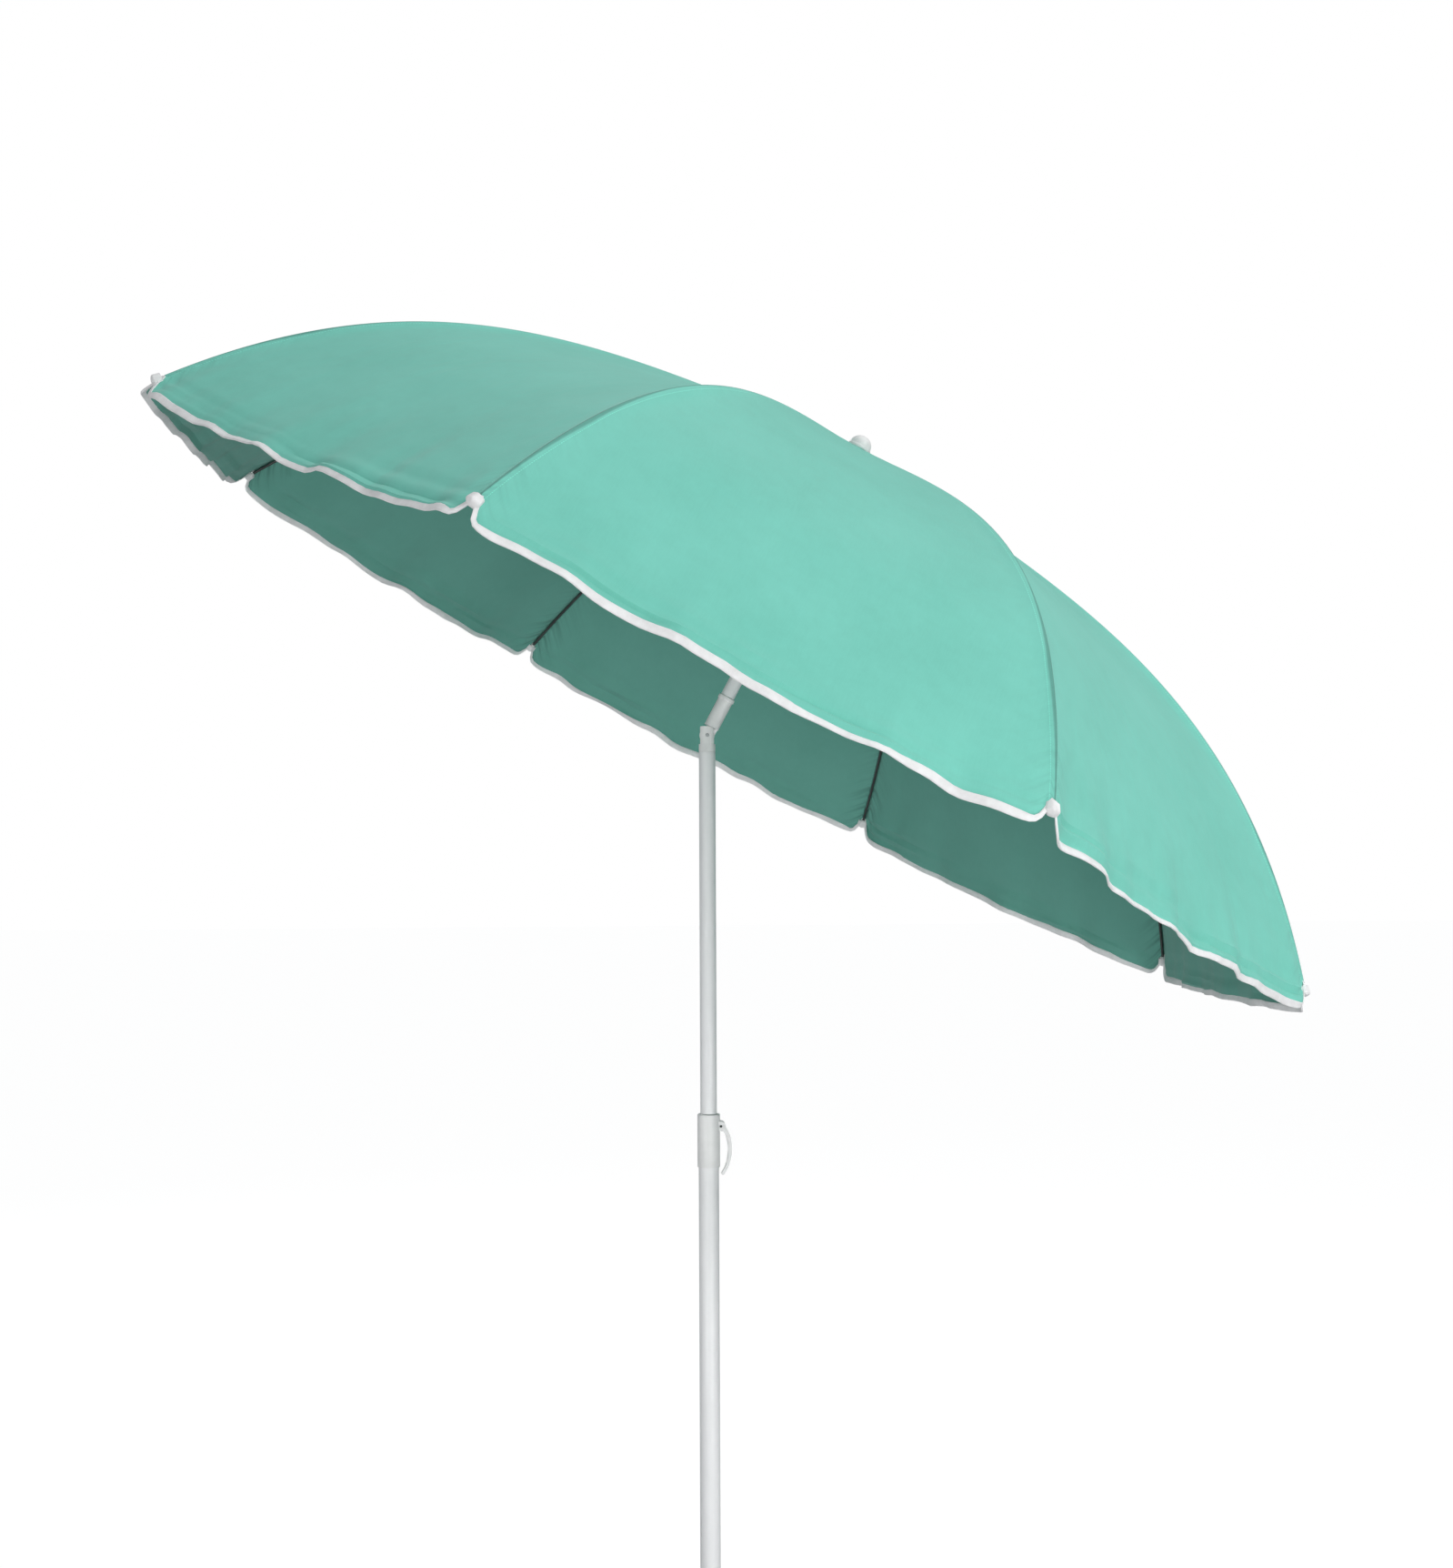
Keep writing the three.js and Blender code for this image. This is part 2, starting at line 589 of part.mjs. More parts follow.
// A notched collar: the ribs' eyes sit in the notches, on the pivot ring.
function crownHub() {
  const bore = SHAFT_RADIUS + GAP;
  const top = (r) => domeZ(r) - FABRIC_THICKNESS / 2 - FABRIC_CLEARANCE;
  const foot = HINGE_Z + 4 - CROWN_HEIGHT;
  const body = turned([
    [bore, foot],
    [RING_RADIUS - 2, foot],
    [CROWN_RADIUS, foot + CROWN_HEIGHT / 2],
    [CROWN_RADIUS, top(CROWN_RADIUS)],
    [bore, top(bore)],
    [bore, foot],
  ]);
  const half = RIB_EYE_WIDTH / 2 + 0.6;
  const root = RING_RADIUS - RIB_EYE_RADIUS - 0.4;
  const notch = () => box([root, -half, foot - 1], [CROWN_RADIUS + 1, half, DOME_TOP + 1]);
  return shaped(body, {
    cut: [ring(RING_RADIUS, RING_WIRE + GAP, HINGE_Z), ...roundRibs(notch)],
  });
}

function finial() {
  const stem = SHAFT_BORE - GAP;
  const seat = (r) => domeZ(r) + FABRIC_THICKNESS / 2 + FABRIC_CLEARANCE;
  const rim = seat(FABRIC_HOLE_RADIUS);
  const crest = rim + FINIAL_RIM;
  const rise = FINIAL_HEIGHT - FINIAL_RIM;
  const arc = Array.from({ length: 5 }, (_, n) => {
    const angle = (Math.PI / 2) * (n / 5);
    return [FINIAL_RADIUS * Math.cos(angle), crest + rise * Math.sin(angle)];
  });
  return turned([
    [0, DOME_TOP - FINIAL_STEM_LENGTH],
    [stem, DOME_TOP - FINIAL_STEM_LENGTH],
    [stem, rim],
    [FINIAL_RADIUS - 1, rim],
    [FINIAL_RADIUS, rim + 1],
    ...arc,
    [0, crest + rise],
  ]);
}

// ---- Runner --------------------------------------------------------------------------

function runner() {
  const bore = SHAFT_RADIUS + RUNNER_BORE_GAP;
  const foot = RUNNER_Z - RUNNER_SLEEVE_LENGTH;
  const low = RUNNER_Z - RUNNER_FLANGE_HALF;
  const high = RUNNER_Z + RUNNER_FLANGE_HALF;
  const body = turned([
    [bore, foot],
    [RUNNER_SLEEVE_RADIUS + 2, foot],
    [RUNNER_SLEEVE_RADIUS + 2, foot + 2],
    [RUNNER_SLEEVE_RADIUS, foot + 4],
    [RUNNER_SLEEVE_RADIUS, low - 3],
    [RUNNER_FLANGE_RADIUS, low],
    [RUNNER_FLANGE_RADIUS, high],
    [bore, high],
    [bore, foot],
  ]);
  const root = RUNNER_PIVOT_X - STRETCHER_WIDTH / 2 - 0.6;
  const notch = () =>
    box(
      [root, STRETCHER_Y - 0.4, low - 4],
      [RUNNER_FLANGE_RADIUS + 1, STRETCHER_Y + STRETCHER_THICKNESS + 0.4, high + 1],
    );
  return shaped(body, {
    cut: [ring(RING_RADIUS, RING_WIRE + GAP, RUNNER_Z), ...roundRibs(notch)],
  });
}

// ---- Ribs, in a frame with the rib along +X --------------------------------------------

function ribCurve() {
  const start = RING_RADIUS + RIB_EYE_RADIUS - 1;
  const reaches = [0.06, 0.12, 0.2, 0.3, 0.4, 0.5, 0.6, 0.7, 0.8, 0.88, 0.94, 1];
  const points = reaches.map((share) => {
    const [x, z] = ribPoint(share * RIB_REACH);
    return new THREE.Vector3(x, 0, z);
  });
  const slope = domeSlope(RIB_REACH);
  const along = new THREE.Vector3(1, 0, slope).normalize();
  const end = points.at(-1).clone().addScaledVector(along, HEM_DROP_AT_RIB + TIP_SOCKET);
  return new THREE.CatmullRomCurve3([new THREE.Vector3(start, 0, HINGE_Z), ...points, end]);
}

// A wire with an eye at the crown and a joiner that hangs below it for the stretcher.
function rib() {
  const half = RIB_EYE_WIDTH / 2;
  const joinerTop = ribPoint(jointX)[1] + 1;
  const joiner = box(
    [jointX - JOINER_HALF_LENGTH, -JOINER_HALF_WIDTH, jointZ - JOINER_FOOT],
    [jointX + JOINER_HALF_LENGTH, JOINER_HALF_WIDTH, joinerTop],
  );
  const pinHole = STRETCHER_PIN_RADIUS + PIN_GAP;
  return shaped(wire(ribCurve(), RIB_WIRE, 16), {
    add: [crossPin(RIB_EYE_RADIUS, RING_RADIUS, HINGE_Z, -half, half), joiner],
    cut: [
      crossPin(RING_WIRE + 0.5, RING_RADIUS, HINGE_Z, -half - 1, half + 1),
      crossPin(pinHole, jointX, jointZ, -JOINER_HALF_WIDTH - 1, JOINER_HALF_WIDTH + 1),
    ],
  });
}

// A round-nosed cap on the end of the rib's wire, past the corner of the fabric.
function ribTip() {
  const bore = RIB_WIRE + GAP;
  const lip = TIP_SOCKET + 2 * GAP;
  const nose = Array.from({ length: 3 }, (_, n) => {
    const angle = (Math.PI / 2) * (n / 3);
    const z = TIP_LENGTH - TIP_RADIUS + TIP_RADIUS * Math.sin(angle);
    return [TIP_RADIUS * Math.cos(angle), z];
  });
  const cap = turned(
    [[0, lip], [bore, lip], [bore, 0], [TIP_RADIUS, 0], ...nose, [0, TIP_LENGTH]], 8);
  const slope = domeSlope(RIB_REACH);
  const along = new THREE.Vector3(1, 0, slope).normalize();
  const [x, z] = ribPoint(RIB_REACH);
  const turn = Math.PI / 2 - Math.atan(slope);
  return cap.rotateY(turn).translate(
    x + along.x * (HEM_DROP_AT_RIB + GAP),
    0,
    z + along.z * (HEM_DROP_AT_RIB + GAP),
  );
}

// A flat bar from the runner's ring to the rib's joiner, with a rivet's head beside it.
function stretcher() {
  const half = STRETCHER_WIDTH / 2;
  const lean = Math.atan2(jointZ - RUNNER_Z, jointX - RUNNER_PIVOT_X);
  const bar = new THREE.Shape();
  bar.absarc(0, 0, half, Math.PI / 2, -Math.PI / 2, false);
  bar.absarc(STRETCHER_LENGTH, 0, half, -Math.PI / 2, Math.PI / 2, false);
  const outer = STRETCHER_Y + STRETCHER_THICKNESS;
  const flat = plate(bar, STRETCHER_Y, outer, 5);
  const eye = RING_WIRE + 0.7;
  return shaped(flat, {
    add: [crossPin(STRETCHER_PIN_RADIUS, STRETCHER_LENGTH, 0, STRETCHER_Y - 0.1, outer + 1)],
    cut: [crossPin(eye, 0, 0, STRETCHER_Y - 1, outer + 1)],
  })
    .rotateY(-lean)
    .translate(RUNNER_PIVOT_X, 0, RUNNER_Z);
}

// ---- Canopy, in a frame with the rib along +X ------------------------------------------

const ACROSS = [0, 0.02, 0.2, 1]; // from the rib to the panel's middle line
const ALONG_STEPS = 14; // rows from the middle to the rib tips
const HEM_ROW = 2; // stands for the hem's edge, past the rib tips
const HEM_EASE = 0.33; // share of the half panel's width in which the flap reaches its drop

// How far the hem's flap drops: little at the rib's tip, all of it a hand's width away.
const hemDrop = (u) => {
  const ease = 1 - (1 - THREE.MathUtils.clamp((u - ACROSS[1]) / HEM_EASE, 0, 1)) ** 3;
  return HEM_DROP_AT_RIB + (HEM_DROP - HEM_DROP_AT_RIB) * ease;
};

// A point of the panel's middle surface. The panel is straight from rib to rib in plan,
// apart from a shallow scallop and sag, and past the rib tips it drops as the hem's flap.
function panelPoint(u, row) {
  const reach = Math.min(row, 1) * RIB_REACH;
  const share = reach / RIB_REACH;
  const half = RIB_STEP / 2;
  const bow = 1 - (1 - u) ** 2;
  const side = reach * Math.sin(half) - 2 * GAP;
  const point = new THREE.Vector3(
    reach * Math.cos(half) - FABRIC_SCALLOP * share ** 2 * bow,
    -GAP - side * (1 - u),
    domeZ(reach) - FABRIC_SAG * share ** 2 * bow,
  );
  if (row > 1) {
    const slope = THREE.MathUtils.degToRad(HEM_SLOPE_DEG);
    const drop = hemDrop(u) * (row - 1);
    const out = new THREE.Vector3(point.x, point.y, 0).normalize();
    point.addScaledVector(out, drop * Math.cos(slope));
    point.z -= drop * Math.sin(slope);
  }
  return point.applyAxisAngle(new THREE.Vector3(0, 0, 1), half);
}

function panelNormal(u, row) {
  const step = 1e-3;
  const low = Math.max(u - step, 0);
  const across = panelPoint(Math.min(low + 2 * step, 1), row).sub(panelPoint(low, row));
  const top = Math.min(row + step, HEM_ROW);
  const along = panelPoint(u, top).sub(panelPoint(u, top - 2 * step));
  return along.cross(across).normalize();
}

// One half of a panel: two sheets of vertices, and walls round their edge.
function halfPanel(side) {
  const along = Array.from({ length: ALONG_STEPS }, (_, n) => (n + 1) / ALONG_STEPS);
  const rows = [FABRIC_HOLE_RADIUS / RIB_REACH, ...along, HEM_ROW];
  const columns = ACROSS.length;
  const points = [];
  for (const offset of [FABRIC_THICKNESS / 2, -FABRIC_THICKNESS / 2]) {
    for (const row of rows) {
      for (const u of ACROSS) {
        const point = panelPoint(u, row).addScaledVector(panelNormal(u, row), offset);
        points.push(point.x, side * point.y, point.z);
      }
    }
  }
  const at = (sheet, i, j) => (sheet * rows.length + i) * columns + j;
  const faces = [];
  const quad = (a, b, c, d) => faces.push(a, b, c, a, c, d);
  for (let i = 0; i < rows.length - 1; i += 1) {
    for (let j = 0; j < columns - 1; j += 1) {
      quad(at(0, i, j), at(0, i + 1, j), at(0, i + 1, j + 1), at(0, i, j + 1));
      quad(at(1, i, j), at(1, i, j + 1), at(1, i + 1, j + 1), at(1, i + 1, j));
    }
    quad(at(0, i, 0), at(1, i, 0), at(1, i + 1, 0), at(0, i + 1, 0));
    const last = columns - 1;
    quad(at(0, i, last), at(0, i + 1, last), at(1, i + 1, last), at(1, i, last));
  }
  for (let j = 0; j < columns - 1; j += 1) {
    const last = rows.length - 1;
    quad(at(0, 0, j), at(0, 0, j + 1), at(1, 0, j + 1), at(1, 0, j));
    quad(at(0, last, j), at(1, last, j), at(1, last, j + 1), at(0, last, j + 1));
  }
  const geometry = new THREE.BufferGeometry();
  geometry.setAttribute("position", new THREE.Float32BufferAttribute(points, 3));
  geometry.setIndex(faces);
  return geometry;
}

// ---- The umbrella ----------------------------------------------------------------------

const umbrella = new THREE.Group();
umbrella.add(
  piece("ground_spike", groundSpike(), WHITE_PLASTIC),
  piece("lower_pole", lowerPole(), WHITE_PAINT),
  piece("guide_bush", guideBush(), GREY_PLASTIC),
  piece("clamp_collar", clampCollar(), WHITE_PLASTIC),
  piece("lever_pin", leverPin(), STEEL),
  piece("clamp_lever", clampLever(), WHITE_PLASTIC),
  piece("end_plug", endPlug(), GREY_PLASTIC),
  piece("upper_pole", upperPole(), WHITE_PAINT),
);

const joint = new THREE.Group();
joint.position.z = TILT_HEIGHT;
joint.add(
  piece("tilt_socket", tiltSocket(), WHITE_PLASTIC),
  piece("tilt_pin", tiltPin(), STEEL),
  piece("tilt_button", tiltButton(), GREY_PLASTIC),
  piece("button_spring", buttonSpring(), STEEL),
);
umbrella.add(joint);

const head = new THREE.Group();
head.rotation.y = TILT;
head.add(
  piece("tilt_knuckle", tiltKnuckle(), WHITE_PLASTIC),
  piece("shaft", shaft(), WHITE_PAINT),
  piece("runner_catch", runnerCatch(), STEEL),
  piece("crown_hub", crownHub(), WHITE_PLASTIC),
  piece("crown_ring", ring(RING_RADIUS, RING_WIRE, HINGE_Z), STEEL),
  piece("finial", finial(), WHITE_PLASTIC),
  piece("runner", runner(), WHITE_PLASTIC),
  piece("runner_ring", ring(RING_RADIUS, RING_WIRE, RUNNER_Z), STEEL),
);
joint.add(head);

for (let n = 1; n <= RIB_COUNT; n += 1) {
  const spoke = new THREE.Group();
  spoke.rotation.z = (n - 0.5) * RIB_STEP;
  spoke.add(
    piece(`rib_${n}`, rib(), BLACK_STEEL),
    piece(`rib_tip_${n}`, ribTip(), WHITE_PLASTIC),
    piece(`stretcher_${n}`, stretcher(), BLACK_STEEL),
    piece(`half_panel_${n}a`, halfPanel(-1), FABRIC),
    piece(`half_panel_${n}b`, halfPanel(1), FABRIC),
  );
  head.add(spoke);
}

export default umbrella;
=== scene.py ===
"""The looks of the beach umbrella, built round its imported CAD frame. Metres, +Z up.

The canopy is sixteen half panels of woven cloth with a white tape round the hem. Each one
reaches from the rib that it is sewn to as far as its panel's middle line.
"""

import json
import math

import bmesh
import bpy
import numpy as np
from mathutils import Matrix, Vector


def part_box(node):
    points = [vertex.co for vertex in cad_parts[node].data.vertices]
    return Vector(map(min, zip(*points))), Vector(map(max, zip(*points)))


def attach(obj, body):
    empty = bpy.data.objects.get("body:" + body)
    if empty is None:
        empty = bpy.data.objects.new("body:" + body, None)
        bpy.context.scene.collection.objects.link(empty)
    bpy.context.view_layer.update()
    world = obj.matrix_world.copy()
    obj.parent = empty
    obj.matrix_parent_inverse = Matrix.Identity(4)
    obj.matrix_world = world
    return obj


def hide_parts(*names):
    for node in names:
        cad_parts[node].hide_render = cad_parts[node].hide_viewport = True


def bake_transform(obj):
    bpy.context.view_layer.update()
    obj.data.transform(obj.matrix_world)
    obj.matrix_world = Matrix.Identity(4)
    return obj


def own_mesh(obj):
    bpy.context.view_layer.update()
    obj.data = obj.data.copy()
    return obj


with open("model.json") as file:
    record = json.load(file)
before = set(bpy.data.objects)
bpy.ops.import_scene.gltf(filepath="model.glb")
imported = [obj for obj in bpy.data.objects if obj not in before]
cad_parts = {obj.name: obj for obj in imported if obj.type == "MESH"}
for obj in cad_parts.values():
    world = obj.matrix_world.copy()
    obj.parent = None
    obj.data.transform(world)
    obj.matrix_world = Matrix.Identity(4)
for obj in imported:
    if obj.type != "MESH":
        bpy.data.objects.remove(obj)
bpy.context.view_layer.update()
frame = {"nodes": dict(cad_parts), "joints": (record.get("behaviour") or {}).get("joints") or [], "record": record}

# ---- The frame's own places ------------------------------------------------------------

JOINTS = {j["name"]: j for j in frame["joints"]}
TILT_AT = Vector(JOINTS["tilt"]["pos_m"])
SHAFT_UP = Vector(JOINTS["runner_slide"]["axis"])
LEAN = math.asin(SHAFT_UP.x)
HEAD = Matrix.Translation(TILT_AT) @ Matrix.Rotation(LEAN, 4, "Y")
RIB_COUNT = 8
STEP = 2 * math.pi / RIB_COUNT


def in_head(point):
    """A point of the row frame, measured from the tilt axis along the shaft."""
    return HEAD.inverted() @ Vector(point)


HINGE_Z = in_head(JOINTS["rib_1_fold"]["pos_m"]).z
RING_RADIUS = in_head(JOINTS["rib_1_fold"]["pos_m"]).xy.length


def spoke(n):
    """The frame of rib n: X out along the rib, Z along the shaft."""
    return HEAD @ Matrix.Rotation((n - 0.5) * STEP, 4, "Z")


# ---- Sizes ---------------------------------------------------------------------------

REACH = 0.830  # from the shaft's axis to the end of a rib's arc
DOME_DROP = 0.383  # how far the cloth falls from the crown to there
DOME_LINEAR = 0.38  # the share of the drop that is a straight slope
DOME_POWER = 4  # the curve of the rest
DOME_TOP = HINGE_Z + 0.009
RIB_UNDER = 0.0042  # from the cloth's middle to the middle of a rib's wire
RIB_WIRE = 0.002
STRETCHER_REACH = 0.170  # from the shaft's axis to the stretcher's clip
JOINT_DROP = 0.007  # from the wire's middle down to the clip's pin
TIP_SOCKET = 0.006  # how deep the wire reaches into its tip
# the eye at a rib's crown end, as (radius, height)
RIB_EYE = [(0.0015, -0.0020), (0.0031, -0.0020), (0.0034, -0.0017), (0.0034, 0.0017),
           (0.0031, 0.0020), (0.0015, 0.0020), (0.0015, -0.0020)]
TIP_CLEARANCE = 0.0003
POCKET_SHIFT = (0.0024, 0.0016)  # of the tape's pocket, along the rib and out of the cloth
CLIP_HALF_LENGTH = 0.008
CLIP_HALF_WIDTH = 0.0026
CLIP_GAP = 0.0017  # from the clip's middle to the inner face of a cheek
CLIP_ROOF = 0.0012  # from the wire's middle to the clip's roof, and the roof's thickness
DOME_HEIGHT = 0.020  # the finial's, above its stem
FINIAL_BEAD = 0.0012  # the radius of each step of the finial's rim

CLOTH_HOLE = 0.012  # the radius of the hole at the crown
CLOTH_THICKNESS = 0.0006
SCALLOP = 0.012  # how far the hem curves in between two rib tips
SAG = 0.009  # how far the hem's middle hangs below the rib tips
HOLLOW = 0.006  # how far the cloth sinks between two ribs, halfway out
RIDGE = 0.0052  # how far it drops beside a rib's wire, at 0.7 of the way out
RIDGE_WIDTH = 0.010
FLAP = 0.038  # the hem's flap below the line of the rib tips
FLAP_AT_RIB = 0.003
FLAP_SLOPE = math.radians(62)
TAPE_WIDTH = 0.0095
TAPE_THICKNESS = 0.0026
TAPE_OVERHANG = 0.0015  # how far the tape's fold reaches past the cloth's edge
TAPE_EDGE = 0.0006  # the thin margin of the tape's upper edge
TIP_NARROW = 0.022  # how far from a rib's tip the tape is narrower
UNDERSIDE = 10.0  # how far the map of the cloth's underside lies from that of its face

SWAY_WAVES = ((0.19, 0.0038), (0.105, 0.0028), (0.062, 0.0013))  # length and size
FOLD_ANGLES = (8, 21, 36, 52, 67)  # degrees from the hem, of the folds from a rib's tip
SOFT_ROWS = 14  # rows above the line of the rib tips that the softening reaches
SOFT_PASSES = 28
STITCH = 0.0034  # one stitch and the gap after it
STITCH_WIDTH = 0.0008
SEAM_STITCH_AT = 0.0055  # from the seam to the stitches beside it
SEAM_SHADE_PEAK = 0.21  # where along the seam the painted shade of its fold is widest
THREAD = 0.0009  # from one thread of the weave to the next
TAPE_RIB = 0.0012  # the same for the tape's ribbing

WRINKLE_SEED = 7

# ---- Camera and light ------------------------------------------------------------------

CAMERA_FROM_TILT = Vector((-0.1351, -2.8307, -0.1427))
CAMERA_YAW = math.radians(-3.253)
CAMERA_PITCH = math.radians(1.565)
CAMERA_ROLL = math.radians(-0.258)
LENS = 48.72
SENSOR = 36
WORLD_STRENGTH = 0.32
HEAD_MIDDLE = TILT_AT + Vector((0, 0, 0.2))
POLE_MIDDLE = Vector((0, 0, 0.85))


def add_camera():
    data = bpy.data.cameras.new("camera")
    data.lens = LENS
    data.sensor_width = SENSOR
    camera = bpy.data.objects.new("camera", data)
    bpy.context.scene.collection.objects.link(camera)
    turn = (
        Matrix.Rotation(CAMERA_YAW, 4, "Z")
        @ Matrix.Rotation(math.pi / 2 + CAMERA_PITCH, 4, "X")
        @ Matrix.Rotation(CAMERA_ROLL, 4, "Z")
    )
    camera.matrix_world = Matrix.Translation(TILT_AT + CAMERA_FROM_TILT) @ turn
    bpy.context.scene.camera = camera


def add_area_light(name, at, size, power, aim=HEAD_MIDDLE, spread=180):
    data = bpy.data.lights.new(name, "AREA")
    data.shape = "DISK"
    data.size = size
    data.energy = power
    data.spread = math.radians(spread)
    light = bpy.data.objects.new(name, data)
    bpy.context.scene.collection.objects.link(light)
    light.location = at
    light.rotation_euler = (Vector(at) - aim).to_track_quat("Z", "Y").to_euler()


def add_world():
    """White behind the object, and a softer white that lights it."""
    world = bpy.data.worlds.new("studio")
    bpy.context.scene.world = world
    world.use_nodes = True
    nodes, links = world.node_tree.nodes, world.node_tree.links
    nodes.clear()
    seen = nodes.new("ShaderNodeBackground")
    seen.inputs["Strength"].default_value = 1.0
    seen.inputs["Color"].default_value = (1, 1, 1, 1)
    light = nodes.new("ShaderNodeBackground")
    light.inputs["Color"].default_value = (0.93, 0.97, 1, 1)
    light.inputs["Strength"].default_value = WORLD_STRENGTH
    path = nodes.new("ShaderNodeLightPath")
    mix = nodes.new("ShaderNodeMixShader")
    out = nodes.new("ShaderNodeOutputWorld")
    links.new(path.outputs["Is Camera Ray"], mix.inputs["Fac"])
    links.new(light.outputs["Background"], mix.inputs[1])
    links.new(seen.outputs["Background"], mix.inputs[2])
    links.new(mix.outputs["Shader"], out.inputs["Surface"])


def add_floor():
    """A wide floor that glows nearly white, unseen by the light on the object."""
    bpy.ops.mesh.primitive_plane_add(size=60)
    floor = bpy.context.object
    floor.name = "floor"
    mat = bpy.data.materials.new("pale_floor")
    mat.use_nodes = True
    bsdf = mat.node_tree.nodes["Principled BSDF"]
    bsdf.inputs["Base Color"].default_value = (0.12, 0.12, 0.12, 1)
    bsdf.inputs["Roughness"].default_value = 0.9
    bsdf.inputs["Emission Color"].default_value = (1, 1, 1, 1)
    bsdf.inputs["Emission Strength"].default_value = 0.93
    floor.data.materials.append(mat)
    floor.visible_diffuse = False
    floor.visible_glossy = False


add_camera()
add_world()
add_floor()
add_area_light("key", (3.1, -2.8, 4.0), 2.2, 100)
add_area_light("front", (-1.6, -4.2, 1.4), 2.0, 30)
add_area_light("top", (1.2, 0.6, 5.0), 2.6, 32)
add_area_light("back", (-1.4, 4.2, 3.4), 2.6, 42)
add_area_light("pole_left", (-1.6, -2.3, 0.35), 0.6, 2.8, POLE_MIDDLE, 80)
add_area_light("pole_right", (1.2, -2.5, 0.35), 0.6, 4.6, POLE_MIDDLE, 80)
bpy.context.scene.view_settings.view_transform = "Standard"

# ---- Materials -------------------------------------------------------------------------


class Shading:
    """A material's node tree, with the few calls that the materials below need."""

    def __init__(self, name):
        self.material = bpy.data.materials.new(name)
        self.material.use_nodes = True
        self.tree = self.material.node_tree
        self.bsdf = self.tree.nodes["Principled BSDF"]
        self.coordinates = self.tree.nodes.new("ShaderNodeTexCoord")

    def node(self, kind, settings=None, **inputs):
        made = self.tree.nodes.new(kind)
        for key, value in (settings or {}).items():
            setattr(made, key, value)
        for key, value in inputs.items():
            socket = made.inputs[key.replace("_", " ")]
            self.feed(value, socket)
        return made

    def feed(self, value, socket):
        if isinstance(value, bpy.types.NodeSocket):
            self.tree.links.new(value, socket)
        else:
            socket.default_value = value

    def uv(self, name):
        return self.node("ShaderNodeUVMap", {"uv_map": name}).outputs["UV"]

    def object(self):
        return self.coordinates.outputs["Object"]

    def noise(self, at, scale, detail, roughness, distortion=0.0):
        made = self.node(
            "ShaderNodeTexNoise",
            Vector=at,
            Scale=scale,
            Detail=detail,
            Roughness=roughness,
            Distortion=distortion,
        )
        return made.outputs["Fac"]

    def math(self, operation, a, b=0.0):
        made = self.node("ShaderNodeMath", {"operation": operation})
        self.feed(a, made.inputs[0])
        self.feed(b, made.inputs[1])
        return made.outputs["Value"]

    def ramp(self, factor, stops):
        made = self.node("ShaderNodeValToRGB", Fac=factor)
        elements = made.color_ramp.elements
        while len(elements) < len(stops):
            elements.new(0.5)
        for element, (place, colour) in zip(elements, stops):
            element.position = place
            element.color = (*colour, 1)
        return made.outputs["Color"]

    def spread(self, factor, low, high, to_low, to_high):
        made = self.node("ShaderNodeMapRange", {"clamp": True}, Value=factor)
        made.inputs["From Min"].default_value = low
        made.inputs["From Max"].default_value = high
        made.inputs["To Min"].default_value = to_low
        made.inputs["To Max"].default_value = to_high
        return made.outputs["Result"]

    def multiply(self, colour, factor):
        made = self.node(
            "ShaderNodeMix", {"data_type": "RGBA", "blend_type": "MULTIPLY"})
        made.inputs["Factor"].default_value = 1.0
        self.feed(colour, made.inputs["A"])
        self.feed(factor, made.inputs["B"])
        return made.outputs["Result"]

    def grey(self, level):
        made = self.node("ShaderNodeCombineColor", Red=level, Green=level, Blue=level)
        return made.outputs["Color"]

    def stretched(self, at, scale):
        return self.node("ShaderNodeMapping", Vector=at, Scale=scale).outputs["Vector"]

    def line(self, distance, at, width):
        """1 on a line of that width, at that distance."""
        made = self.math("COMPARE", distance, at)
        made.node.inputs[2].default_value = width / 2
        return made

    def bump(self, height, distance, strength, below=None):
        made = self.node(
            "ShaderNodeBump", Height=height, Distance=distance, Strength=strength)
        if below is not None:
            self.feed(below, made.inputs["Normal"])
        return made.outputs["Normal"]

    def finish(self, colour, roughness, normal, **fixed):
        self.feed(colour, self.bsdf.inputs["Base Color"])
        self.feed(roughness, self.bsdf.inputs["Roughness"])
        self.feed(normal, self.bsdf.inputs["Normal"])
        for key, value in fixed.items():
            self.bsdf.inputs[key.replace("_", " ")].default_value = value
        return self.material


def bands(shade, at, direction, period):
    """Sine bands of that period in metres, from 0 to 1."""
    made = shade.node(
        "ShaderNodeTexWave",
        {"wave_type": "BANDS", "bands_direction": direction, "wave_profile": "SIN"},
        Vector=at,
        Scale=2 * math.pi / (20 * period),
    )
    return made.outputs["Fac"]


